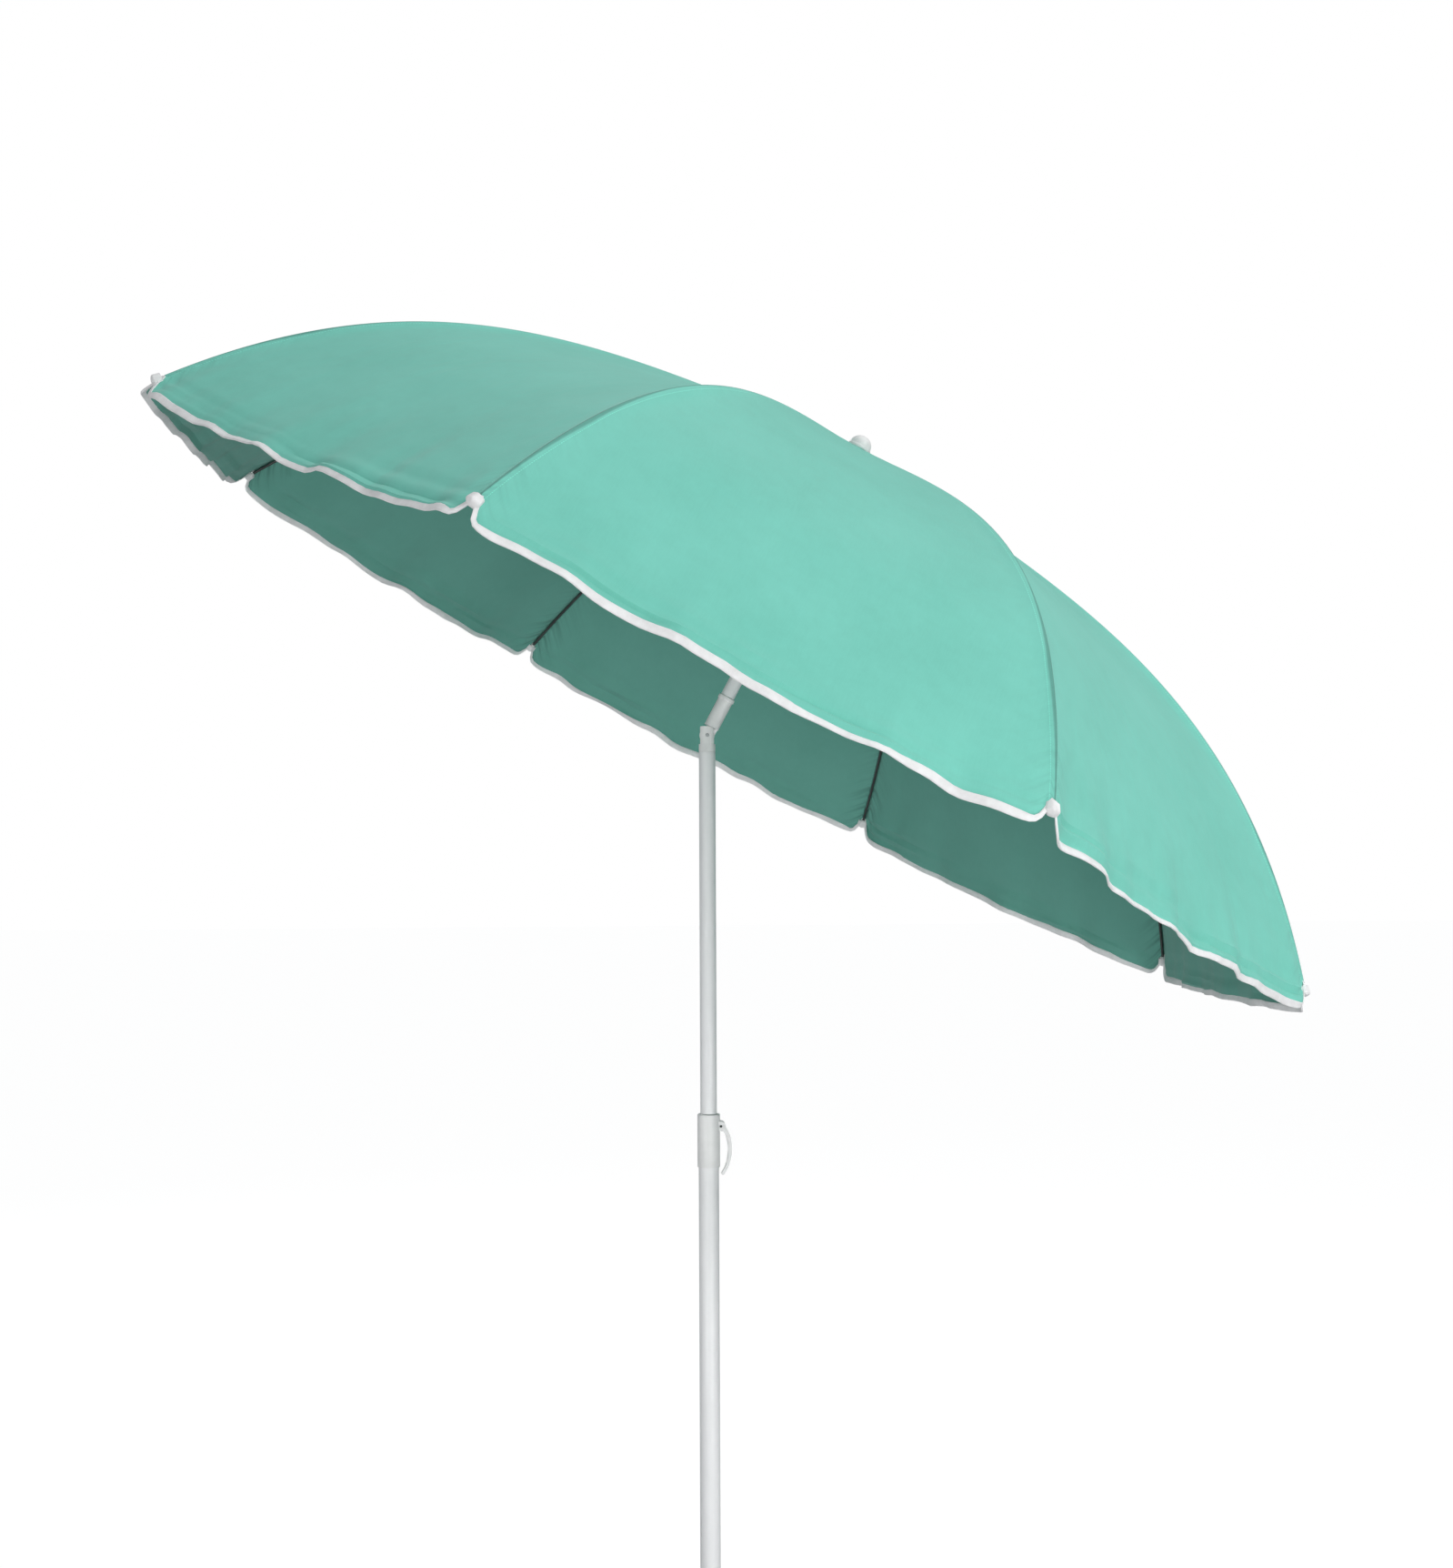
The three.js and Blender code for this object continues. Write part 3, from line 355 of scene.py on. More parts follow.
def canopy_cloth():
    """Woven cloth with stitches, puckers by the ribs, painted shade along the seam's fold and in the puckers, and
    an underside painted darker as shade.
    """
    shade = Shading("canopy_cloth")
    cloth, edges = shade.uv("cloth"), shade.uv("edges")
    broad = shade.noise(cloth, 5.0, 4, 0.55)
    mottle = shade.noise(cloth, 55.0, 5, 0.7)
    thread = shade.noise(shade.stretched(cloth, (900, 40, 1)), 1.0, 2, 0.6)
    tone = shade.math("ADD", shade.math("MULTIPLY", broad, 0.55),
                      shade.math("MULTIPLY", mottle, 0.3))
    tone = shade.math("ADD", tone, shade.math("MULTIPLY", thread, 0.15))
    colour = shade.ramp(tone, [
        (0.3, (0.156, 0.545, 0.440)),
        (0.5, (0.182, 0.600, 0.492)),
        (0.7, (0.206, 0.650, 0.540)),
    ])
    # the underside, whose map lies UNDERSIDE further along, is painted darker and greyer: painted shade of the
    # unlit side
    place = shade.node("ShaderNodeSeparateXYZ", Vector=cloth)
    under = shade.math("GREATER_THAN", place.outputs["X"], UNDERSIDE / 2)
    underside_shade = shade.spread(under, 0, 1, 1.0, 0.66)
    underside_shade_red = shade.spread(under, 0, 1, 1.0, 0.75)
    painted_underside_shade = shade.node("ShaderNodeCombineColor", Red=underside_shade_red, Green=underside_shade, Blue=underside_shade)
    colour = shade.multiply(colour, painted_underside_shade.outputs["Color"])
    apart = shade.node("ShaderNodeSeparateXYZ", Vector=edges)
    from_seam, from_hem = apart.outputs["X"], apart.outputs["Y"]
    # painted shade along the seam's fold, widest where the cloth is pinched hardest, and stitches beside it
    off_shade_peak = shade.math("ABSOLUTE", shade.math("SUBTRACT", from_hem, SEAM_SHADE_PEAK))
    seam_shade_width = shade.spread(off_shade_peak, 0.0, 0.15, 0.0044, 0.0012)
    fold = shade.spread(shade.math("DIVIDE", from_seam, seam_shade_width), 0.55, 1.0, 0.6, 1.0)
    colour = shade.multiply(colour, shade.grey(fold))
    beside = shade.line(from_seam, SEAM_STITCH_AT, STITCH_WIDTH)
    dash = shade.math("GREATER_THAN", bands(shade, edges, "Y", STITCH), 0.35)
    stitch = shade.math("MULTIPLY", beside, dash)
    colour = shade.multiply(colour, shade.grey(shade.spread(stitch, 0, 1, 1.0, 1.35)))
    weave = shade.math(
        "MULTIPLY", bands(shade, cloth, "X", THREAD), bands(shade, cloth, "Y", THREAD))
    # the fine puckers that fan out from the seam, strongest by the hem, bumped, with painted shade in their folds
    near = shade.math("POWER", shade.spread(from_seam, 0.0, 0.055, 1.0, 0.0), 2.0)
    low = shade.math("POWER", shade.spread(from_hem, 0.0, 0.26, 1.0, 0.12), 1.5)
    slant = shade.math("ADD", from_hem, shade.math("MULTIPLY", from_seam, 0.9))
    feather = shade.node("ShaderNodeCombineXYZ", X=slant, Y=from_seam)
    feathers = shade.stretched(feather.outputs["Vector"], (105, 9, 1))
    lines = shade.noise(feathers, 1.0, 2, 0.5, 0.3)
    pull = shade.math("MULTIPLY", near, low)
    pull = shade.math("MULTIPLY", pull, shade.spread(under, 0, 1, 0.25, 1.0))
    pucker = shade.math("MULTIPLY", pull, lines)
    # painted shade in the puckers' folds, taken off the colour
    deep = shade.math("MULTIPLY", pull, shade.spread(lines, 0.36, 0.56, 0.62, 0.0))
    colour = shade.multiply(colour, shade.grey(shade.math("SUBTRACT", 1.0, deep)))
    crease = shade.noise(shade.stretched(cloth, (16, 3.2, 1)), 1.0, 3, 0.6, 0.7)
    normal = shade.bump(crease, 0.0035, 0.5)
    normal = shade.bump(pucker, 0.007, 1.0, normal)
    normal = shade.bump(weave, 0.00012, 0.5, normal)
    normal = shade.bump(stitch, 0.0003, 0.6, normal)
    roughness = shade.spread(mottle, 0.3, 0.7, 0.66, 0.82)
    return shade.finish(
        colour, roughness, normal, Sheen_Weight=0.15, Sheen_Roughness=0.5,
        Specular_IOR_Level=0.3)


def hem_tape():
    """Ribbed white tape with one line of stitches, a little uneven in its white."""
    shade = Shading("hem_tape")
    at = shade.uv("tape")
    cloud = shade.noise(at, 60.0, 4, 0.6)
    colour = shade.ramp(cloud, [(0.3, (0.80, 0.79, 0.79)), (0.6, (0.90, 0.90, 0.90))])
    apart = shade.node("ShaderNodeSeparateXYZ", Vector=at)
    line = shade.line(apart.outputs["Y"], TAPE_WIDTH * 0.80, STITCH_WIDTH)
    dash = shade.math("GREATER_THAN", bands(shade, at, "X", STITCH), 0.3)
    stitch = shade.math("MULTIPLY", line, dash)
    ribbed = bands(shade, at, "X", TAPE_RIB)
    normal = shade.bump(ribbed, 0.0002, 0.6)
    normal = shade.bump(cloud, 0.0008, 0.4, normal)
    normal = shade.bump(stitch, 0.0004, 0.8, normal)
    roughness = shade.spread(cloud, 0.3, 0.7, 0.6, 0.8)
    return shade.finish(colour, roughness, normal, Sheen_Weight=0.1)


def white_paint():
    """Gloss paint on steel tube: faint runs along the tube and small scuffs."""
    shade = Shading("white_paint")
    at = shade.object()
    runs = shade.noise(shade.stretched(at, (60, 60, 2.5)), 1.0, 4, 0.5)
    peel = shade.noise(at, 420.0, 2, 0.5)
    scuff = shade.noise(at, 38.0, 6, 0.75)
    colour = shade.ramp(runs, [(0.3, (0.83, 0.83, 0.835)), (0.7, (0.89, 0.89, 0.89))])
    worn = shade.spread(scuff, 0.68, 0.76, 1.0, 0.9)
    colour = shade.multiply(colour, shade.grey(worn))
    normal = shade.bump(peel, 0.00003, 0.25)
    roughness = shade.spread(scuff, 0.4, 0.75, 0.36, 0.52)
    return shade.finish(colour, roughness, normal, Coat_Weight=0.12, Coat_Roughness=0.25)


def moulded(name, dark, light):
    """Moulded plastic with a fine spark-eroded grain and slightly uneven gloss."""
    shade = Shading(name)
    at = shade.object()
    cloud = shade.noise(at, 24.0, 4, 0.6)
    fine = shade.noise(at, 700.0, 3, 0.6)
    colour = shade.ramp(cloud, [(0.3, dark), (0.7, light)])
    normal = shade.bump(fine, 0.00005, 0.6)
    roughness = shade.spread(fine, 0.3, 0.7, 0.34, 0.52)
    return shade.finish(colour, roughness, normal, Specular_IOR_Level=0.45)


def steel_wire():
    """Bright drawn steel with a few duller stains."""
    shade = Shading("steel_wire")
    at = shade.object()
    drawn = shade.noise(at, 900.0, 2, 0.5)
    stain = shade.noise(at, 70.0, 5, 0.7)
    colour = shade.ramp(stain, [(0.35, (0.36, 0.36, 0.36)), (0.6, (0.56, 0.57, 0.58))])
    roughness = shade.spread(stain, 0.3, 0.7, 0.26, 0.45)
    return shade.finish(colour, roughness, shade.bump(drawn, 0.00003, 0.6), Metallic=1.0)


def black_coat():
    """Black lacquer on steel wire."""
    shade = Shading("black_coat")
    at = shade.object()
    cloud = shade.noise(at, 30.0, 5, 0.7)
    colour = shade.ramp(cloud, [
        (0.35, (0.028, 0.033, 0.032)),
        (0.62, (0.046, 0.053, 0.051)),
        (0.78, (0.085, 0.092, 0.089)),
    ])
    roughness = shade.spread(cloud, 0.3, 0.75, 0.3, 0.5)
    peel = shade.noise(at, 600.0, 2, 0.5)
    return shade.finish(colour, roughness, shade.bump(peel, 0.00004, 0.5), Coat_Weight=0.2)


CLOTH = canopy_cloth()
TAPE = hem_tape()
PAINT = white_paint()
WHITE = moulded("white_plastic", (0.78, 0.78, 0.77), (0.87, 0.87, 0.86))
GREY = moulded("grey_plastic", (0.40, 0.41, 0.41), (0.50, 0.51, 0.51))
STEEL = steel_wire()
BLACK = black_coat()

FINISH = {
    "pole_paint": PAINT,
    "white_plastic": WHITE,
    "grey_plastic": GREY,
    "steel": STEEL,
    "black_steel": BLACK,
}
NODE_SLOT = {s["node"]: s["material_slot"] for s in frame["record"]["subparts"]}
# the black is painted shade, standing for the shade in the recess at the pin's end
NODE_SLOT["lever_pin"] = "black_steel"  # a dark dot in the photo, though the record says steel
NODE_BODY = {
    node: body
    for body, nodes in frame["record"]["behaviour"]["bodies"].items()
    for node in nodes
}

# ---- Mesh helpers ------------------------------------------------------------------------

SMOOTH_ANGLE = math.radians(34)


def make_object(name, vertices, faces, material):
    mesh = bpy.data.meshes.new(name)
    mesh.from_pydata([tuple(v) for v in vertices], [], faces)
    mesh.validate()
    bm = bmesh.new()
    bm.from_mesh(mesh)
    bmesh.ops.recalc_face_normals(bm, faces=bm.faces)
    bm.to_mesh(mesh)
    bm.free()
    mesh.shade_smooth()
    mesh.set_sharp_from_angle(angle=SMOOTH_ANGLE)
    mesh.materials.append(material)
    made = bpy.data.objects.new(name, mesh)
    bpy.context.scene.collection.objects.link(made)
    return made


def stand_for(piece, node):
    """piece takes the place of a CAD node: its body and its space."""
    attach(piece, NODE_BODY[node])
    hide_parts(node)


def round_edges(piece, width):
    bevel = piece.modifiers.new("edges", "BEVEL")
    bevel.width = width
    bevel.segments = 2
    bevel.limit_method = "ANGLE"
    bevel.angle_limit = SMOOTH_ANGLE
    bevel.harden_normals = True
    return piece


def refined(node, edge):
    """A copy of a CAD node with its flat facets joined, its edges rounded and smooth."""
    bm = bmesh.new()
    bm.from_mesh(frame["nodes"][node].data)
    bmesh.ops.remove_doubles(bm, verts=bm.verts, dist=1e-6)
    bmesh.ops.dissolve_limit(
        bm, angle_limit=math.radians(1), verts=bm.verts, edges=bm.edges)
    mesh = bpy.data.meshes.new(f"{node}_shape")
    bm.to_mesh(mesh)
    bm.free()
    mesh.shade_smooth()
    mesh.set_sharp_from_angle(angle=SMOOTH_ANGLE)
    mesh.materials.append(FINISH[NODE_SLOT[node]])
    piece = bpy.data.objects.new(f"{node}_shape", mesh)
    bpy.context.scene.collection.objects.link(piece)
    stand_for(round_edges(piece, edge), node)


def tube_faces(rings, sides):
    """Quads along a tube of that many rings, and a face over each end."""
    faces = [tuple(range(sides)), tuple(range((rings - 1) * sides, rings * sides))]
    for i in range(rings - 1):
        for k in range(sides):
            a, b = i * sides + k, i * sides + (k + 1) % sides
            faces.append((a, b, b + sides, a + sides))
    return faces


class Shape:
    """Vertices and faces that several closed shells are added to."""

    def __init__(self):
        self.vertices = []
        self.faces = []

    def add(self, vertices, faces, place=Matrix.Identity(4)):
        first = len(self.vertices)
        self.vertices += [place @ Vector(v) for v in vertices]
        self.faces += [tuple(first + i for i in face) for face in faces]
        return self

    def turned(self, profile, place=Matrix.Identity(4), sides=48):
        """A closed loop of (radius, height) turned about Z, or an open one from axis to axis."""
        closed = profile[0] == profile[-1]
        rings = profile[:-1] if closed else profile
        vertices, starts = [], []
        for radius, height in rings:
            starts.append(len(vertices))
            count = 1 if radius == 0 else sides
            for k in range(count):
                angle = 2 * math.pi * k / sides
                vertices.append((radius * math.cos(angle), radius * math.sin(angle), height))
        faces = []
        spans = list(zip(range(len(rings)), range(1, len(rings))))
        if closed:
            spans.append((len(rings) - 1, 0))
        for low, high in spans:
            for k in range(sides):
                near, far = k, (k + 1) % sides
                a = starts[low] + (0 if rings[low][0] == 0 else near)
                b = starts[low] + (0 if rings[low][0] == 0 else far)
                c = starts[high] + (0 if rings[high][0] == 0 else far)
                d = starts[high] + (0 if rings[high][0] == 0 else near)
                face = tuple(dict.fromkeys((a, b, c, d)))
                if len(face) > 2:
                    faces.append(face)
        return self.add(vertices, faces, place)

    def swept(self, path, radius, place=Matrix.Identity(4), sides=14):
        """Round wire along a path, closed at both ends."""
        path = [Vector(p) for p in path]
        vertices, side = [], None
        for i, point in enumerate(path):
            ahead = path[min(i + 1, len(path) - 1)] - path[max(i - 1, 0)]
            ahead.normalize()
            if side is None:
                side = ahead.orthogonal().normalized()
            side = (side - ahead * side.dot(ahead)).normalized()
            up = ahead.cross(side)
            for k in range(sides):
                angle = 2 * math.pi * k / sides
                vertices.append(
                    point + radius * (math.cos(angle) * side + math.sin(angle) * up))
        return self.add(vertices, tube_faces(len(path), sides), place)

    def block(self, low, high, place=Matrix.Identity(4)):
        corners = [(x, y, z) for x in (low[0], high[0])
                   for y in (low[1], high[1]) for z in (low[2], high[2])]
        faces = [(0, 1, 3, 2), (4, 6, 7, 5), (0, 4, 5, 1), (2, 3, 7, 6), (0, 2, 6, 4),
                 (1, 5, 7, 3)]
        return self.add(corners, faces, place)

    def build(self, name, material):
        return make_object(name, self.vertices, self.faces, material)


def arc(centre, radius, start, end, steps):
    """Points on an arc, as (radius, height) for a profile. Angles in degrees."""
    return [
        (
            centre[0] + radius * math.cos(math.radians(start + (end - start) * k / steps)),
            centre[1] + radius * math.sin(math.radians(start + (end - start) * k / steps)),
        )
        for k in range(steps + 1)
    ]


# ---- Poles and shaft -----------------------------------------------------------------------


def rolled_tube(bore, radius, low, high):
    """A tube's profile with both rims rounded."""
    mid, half = (bore + radius) / 2, (radius - bore) / 2
    return [
        *arc((mid, low + half), half, 180, 360, 6),
        *arc((mid, high - half), half, 0, 180, 6),
        (bore, low + half),
    ]


def pole(node, wall):
    """A tube with rolled rims, as long and as wide as its CAD node."""
    spots = [v.co for v in frame["nodes"][node].data.vertices]
    low, high = min(v.z for v in spots), max(v.z for v in spots)
    radius = max(v.xy.length for v in spots)
    tube = Shape().turned(rolled_tube(radius - wall, radius, low, high), sides=64)
    stand_for(tube.build(f"{node}_tube", PAINT), node)


pole("lower_pole", 0.0012)
pole("upper_pole", 0.0010)
refined("shaft", 0.0002)

# ---- Plastic and small parts ------------------------------------------------------------------

for name, edge in {
    "ground_spike": 0.0008,
    "guide_bush": 0.0002,
    "clamp_collar": 0.0005,
    "lever_pin": 0.0003,
    "clamp_lever": 0.0009,
    "end_plug": 0.0004,
    "tilt_socket": 0.0006,
    "tilt_pin": 0.0004,
    "tilt_button": 0.0003,
    "tilt_knuckle": 0.0005,
    "runner_catch": 0.0002,
    "crown_hub": 0.0003,
    "runner": 0.0003,
}.items():
    refined(name, edge)


def button_spring():
    """A coil that fills its CAD node's box."""
    low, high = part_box("button_spring")
    wire = 0.0003
    centre = (low + high) / 2
    radius = (high.x - low.x) / 2 - wire
    turns, steps = 3, 72
    path = [
        (
            centre.x + radius * math.cos(2 * math.pi * turns * k / steps),
            low.y + wire + (high.y - low.y - 2 * wire) * k / steps,
            centre.z + radius * math.sin(2 * math.pi * turns * k / steps),
        )
        for k in range(steps + 1)
    ]
    piece = Shape().swept(path, wire, sides=10).build("button_spring_coil", STEEL)
    stand_for(piece, "button_spring")
    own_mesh(piece)


def pivot_ring(node, height):
    """The wire ring that the ribs or the stretchers turn on."""
    profile = arc((RING_RADIUS, height), 0.001, 0, 360, 12)
    profile[-1] = profile[0]
    ring = Shape().turned(profile, HEAD, 96).build(f"{node}_wire", STEEL)
    stand_for(ring, node)


def finial():
    """A domed cap with a stepped rim, on its stem in the shaft."""
    spots = [in_head(v.co) for v in frame["nodes"]["finial"].data.vertices]
    low, high = min(v.z for v in spots), max(v.z for v in spots)
    radius = max(v.xy.length for v in spots)
    stem = min(v.xy.length for v in spots if v.z < low + 0.001 and v.xy.length > 0.004)
    rim, waist = high - DOME_HEIGHT, radius - FINIAL_BEAD
    dome = [
        (waist * math.cos(a), rim + 0.0052 + 0.0148 * math.sin(a))
        for a in (math.radians(4 + 86 * k / 14) for k in range(15))
    ]
    dome[-1] = (0, dome[-1][1])
    profile = [
        (0, low), (stem - 0.0005, low), (stem, low + 0.0005), (stem, rim),
        *arc((waist, rim + FINIAL_BEAD), FINIAL_BEAD, -90, 0, 4),
        *arc((waist, rim + 0.0034), FINIAL_BEAD, 0, 75, 4),
        *dome,
    ]
    cap = Shape().turned(profile, HEAD, 64).build("finial_cap", WHITE)
    stand_for(cap, "finial")


button_spring()
pivot_ring("crown_ring", HINGE_Z)
pivot_ring("runner_ring", in_head(JOINTS["stretcher_1_fold"]["pos_m"]).z)
finial()

# ---- Ribs -----------------------------------------------------------------------------------


def dome_height(r):
    t = r / REACH
    return DOME_TOP - DOME_DROP * (DOME_LINEAR * t + (1 - DOME_LINEAR) * t**DOME_POWER)


def dome_slope(r):
    t = r / REACH
    bend = (1 - DOME_LINEAR) * DOME_POWER * t ** (DOME_POWER - 1)
    return -DOME_DROP / REACH * (DOME_LINEAR + bend)


def rib_point(r):
    slope = dome_slope(r)
    length = math.hypot(1, slope)
    return Vector((r + RIB_UNDER * slope / length, 0, dome_height(r) - RIB_UNDER / length))


TIP_ALONG = Vector((1, 0, dome_slope(REACH))).normalized()
TIP_ACROSS = Vector((-TIP_ALONG.z, 0, TIP_ALONG.x))


def rib(n):
    """A round wire with an eye at the crown and a folded clip for the stretcher."""
    shape = Shape()
    start = Vector((RING_RADIUS + 0.0024, 0, HINGE_Z))  # inside the eye's wall
    reaches = [0.045 + 0.955 * (k / 44) for k in range(45)]
    path = [start, *(rib_point(REACH * share) for share in reaches)]
    path.append(path[-1] + TIP_ALONG * (FLAP_AT_RIB + TIP_SOCKET))
    shape.swept(path, RIB_WIRE, spoke(n))
    eye_at = spoke(n) @ Matrix.Translation((RING_RADIUS, 0, HINGE_Z))
    across = eye_at @ Matrix.Rotation(math.pi / 2, 4, "X")
    shape.turned(RIB_EYE, across, 28)
    joint = rib_point(STRETCHER_REACH)
    tilt = math.atan(-dome_slope(STRETCHER_REACH))
    clip = spoke(n) @ Matrix.Translation(joint) @ Matrix.Rotation(tilt, 4, "Y")
    for side in (-1, 1):
        near, far = sorted((side * CLIP_GAP, side * CLIP_HALF_WIDTH))
        shape.block(
            (-CLIP_HALF_LENGTH, near, -JOINT_DROP - 0.0034),
            (CLIP_HALF_LENGTH, far, CLIP_ROOF), clip)
    shape.block(
        (-CLIP_HALF_LENGTH, -CLIP_HALF_WIDTH, CLIP_ROOF),
        (CLIP_HALF_LENGTH, CLIP_HALF_WIDTH, 2 * CLIP_ROOF), clip)
    piece = shape.build(f"rib_{n}_wire", BLACK)
    stand_for(round_edges(piece, 0.0003), f"rib_{n}")


def tip_place(n, along, across=0.0):
    """The frame of rib n's tip, Z out along the rib, moved along and across it."""
    at = rib_point(REACH) + TIP_ALONG * (FLAP_AT_RIB + along) + TIP_ACROSS * across
    turn = math.pi / 2 - math.atan(dome_slope(REACH))
    return spoke(n) @ Matrix.Translation(at) @ Matrix.Rotation(turn, 4, "Y")


def rib_tip(n):
    """A moulded cap with a round nose and a small collar, on the end of the rib's wire."""
    bore, radius, length = RIB_WIRE + TIP_CLEARANCE, 0.0036, 0.0136
    profile = [
        (0, TIP_SOCKET + 0.0006), (bore, TIP_SOCKET + 0.0006), (bore, 0.0),
        (radius - 0.0004, 0.0), (radius + 0.0002, 0.0005), (radius + 0.0002, 0.0022),
        (radius - 0.0005, 0.0028), (radius - 0.0003, length - 0.0046),
        *arc((0.0, length - 0.0038), 0.0038, 8, 90, 8)[:-1], (0, length),
    ]
    place = tip_place(n, TIP_CLEARANCE)
    cap = Shape().turned(profile, place, 32).build(f"rib_tip_{n}_cap", WHITE)
    stand_for(cap, f"rib_tip_{n}")


def tip_pocket(n):
    """The corner of the hem's tape, folded into a small thimble over the rib's tip."""
    outer, wall, length = 0.0072, 0.0011, 0.0130
    dome = [(outer * math.cos(a), length - 0.0045 + 0.0045 * math.sin(a))
            for a in (math.radians(10 * k) for k in range(9))]
    inner = [(r - wall, z - wall) for r, z in dome[::-1]]
    profile = [(outer - 0.0003, 0), *dome, (0, length), (0, length - wall), *inner,
               (outer - wall, 0.0002)]
    shape = Shape().turned([*profile, profile[0]], sides=32)
    rng = np.random.default_rng(WRINKLE_SEED + n)
    phase = rng.uniform(0, 2 * math.pi, 2)
    for v in shape.vertices:
        turn = math.atan2(v.y, v.x)
        fold = 1 + 0.10 * math.sin(2 * turn + phase[0]) + 0.05 * math.sin(5 * turn + phase[1])
        swell = 1 + 0.10 * math.sin(math.pi * v.z / length)
        v.x, v.y = v.x * fold * swell, v.y * fold * swell
    place = tip_place(n, *POCKET_SHIFT)
    shape.vertices = [place @ v for v in shape.vertices]
    pocket = shape.build(f"tip_pocket_{n}", TAPE)
    mesh = pocket.data
    corners = np.array([(v.co.x + v.co.z, v.co.y) for v in mesh.vertices])
    set_map(mesh, "tape", corners)
    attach(pocket, f"rib_{n}")


# ---- Canopy ---------------------------------------------------------------------------------

HALF = STEP / 2
ROWS = 60  # from the crown to the line of the rib tips
FLAP_ROWS = 10
COLUMNS = 30  # from a rib to the panel's middle line


def panel_grid():
    """The parameters of a whole panel: across from -1 to 1, out from 0 to 1, flap to 2."""
    near = np.array([(k / COLUMNS) ** 1.5 for k in range(COLUMNS + 1)])
    across = np.concatenate([near - 1, (1 - near)[::-1][1:]])
    out = 1 - (1 - np.arange(ROWS + 1) / ROWS) ** 1.25
    flap = 1 + np.arange(1, FLAP_ROWS + 1) / FLAP_ROWS
    return np.meshgrid(across, np.concatenate([out, flap]))


def grid_normals(points):
    down = np.gradient(points, axis=0)
    side = np.gradient(points, axis=1)
    normals = np.cross(down, side)
    return normals / np.linalg.norm(normals, axis=2, keepdims=True)


def smooth_noise(x, y, rng, waves, spread):
    """A soft random field of sine waves in random directions, about as long as spread."""
    total = np.zeros_like(x)
    for _ in range(waves):
        angle, phase = rng.uniform(0, 2 * np.pi, 2)
        rate = 2 * np.pi / (spread * rng.uniform(0.6, 1.8))
        total += np.sin(rate * (x * np.cos(angle) + y * np.sin(angle)) + phase)
    return total / np.sqrt(waves)


def hem_flap(across, seam_distance, rng):
    """How far the flap drops at each column, and how far it sways out of the surface.

    The flap is notched at each rib, where it drops only about FLAP_AT_RIB.
    """
    notch = np.where(across < 0, rng.uniform(0.007, 0.012), rng.uniform(0.007, 0.012))
    drop = FLAP_AT_RIB + (FLAP - FLAP_AT_RIB) * (1 - np.exp(-((seam_distance / notch) ** 1.5)))
    place = across * REACH * np.sin(HALF)
    sway = np.zeros_like(across)
    for length, size in SWAY_WAVES:
        phase = rng.uniform(0, 2 * np.pi)
        drift = rng.uniform(0.85, 1.15)
        sway += size * np.sin(2 * np.pi * place / (length * drift) + phase)
        drop = drop + 0.22 * size * np.sin(2 * np.pi * place / length + 2.1 * phase)
    fade = 1 - np.exp(-((seam_distance / 0.016) ** 2))
    return drop, sway * fade


def panel_surface(n):
    """The middle of the cloth of the panel from rib n to the next, in the shaft's frame."""
    rng = np.random.default_rng(WRINKLE_SEED * 100 + n)
    across, out = panel_grid()
    radius = CLOTH_HOLE + (REACH - CLOTH_HOLE) * np.clip(out, 0, 1)
    share = radius / REACH
    bow = 1 - across**2
    height = dome_height(radius)
    x = radius * np.cos(HALF) - SCALLOP * share**2 * bow
    y = across * radius * np.sin(HALF)
    z = height - (SAG * share**2 + HOLLOW * np.sin(np.pi * share) ** 2) * bow
    beside = (1 - np.abs(across)) * radius * np.sin(HALF)
    z -= RIDGE * np.sin(np.pi * share**2) ** 2 * (1 - np.exp(-((beside / RIDGE_WIDTH) ** 2)))
    seam = (1 - np.abs(across)) * REACH * np.sin(HALF)
    flap = np.clip(out - 1, 0, 1)
    drop, sway = hem_flap(across, seam, rng)
    outward = np.stack([x, y, np.zeros_like(x)], axis=2)
    outward /= np.linalg.norm(outward, axis=2, keepdims=True)
    points = np.stack([x, y, z], axis=2)
    fall = (drop * flap)[..., None]
    points = points + outward * fall * math.cos(FLAP_SLOPE)
    points[..., 2] -= fall[..., 0] * math.sin(FLAP_SLOPE)
    # the sway grows down the flap, and fades out just above the line of the rib tips
    swing = np.where(out < 1, 0.32 * np.exp(-(1 - out) * REACH / 0.045), 0.32 + 0.68 * flap)
    points = points + grid_normals(points) * (sway * swing)[..., None]
    points = softened(points, np.where(seam > 0.004, 1.0, 0.0))
    return points + grid_normals(points) * wrinkles(across, out, share, drop, rng)[..., None]


def softened(points, freedom):
    """The surface with the turn from panel to flap rounded off, all but its hem and seams."""
    rows = slice(ROWS - SOFT_ROWS, ROWS + FLAP_ROWS)
    for _ in range(SOFT_PASSES):
        middle = (points[:-2] + 2 * points[1:-1] + points[2:]) / 4 - points[1:-1]
        shift = np.zeros_like(points)
        shift[1:-1] = middle * freedom[1:-1, :, None]
        points = points.copy()
        points[rows] += shift[rows]
    return points


def tension_folds(beside, above, rng):
    """Folds that run from a rib's tip up into the panel, widening as they fade."""
    field = np.zeros_like(beside)
    for angle in FOLD_ANGLES:
        turn = math.radians(angle + rng.uniform(-5, 5))
        along = beside * np.cos(turn) + above * np.sin(turn)
        off = -beside * np.sin(turn) + above * np.cos(turn)
        off = off + 0.004 * np.sin(along / rng.uniform(0.018, 0.03) + rng.uniform(0, 6))
        width = 0.0035 + 0.055 * np.clip(along, 0, 1)
        length = rng.uniform(0.09, 0.22)
        size = rng.uniform(0.0007, 0.0015) * rng.choice([-1, 1])
        rise = 1 - np.exp(-((np.clip(along, 0, 1) / 0.02) ** 2))
        field += size * rise * np.exp(-((off / width) ** 2) - np.clip(along, 0, 9) / length)
    return field


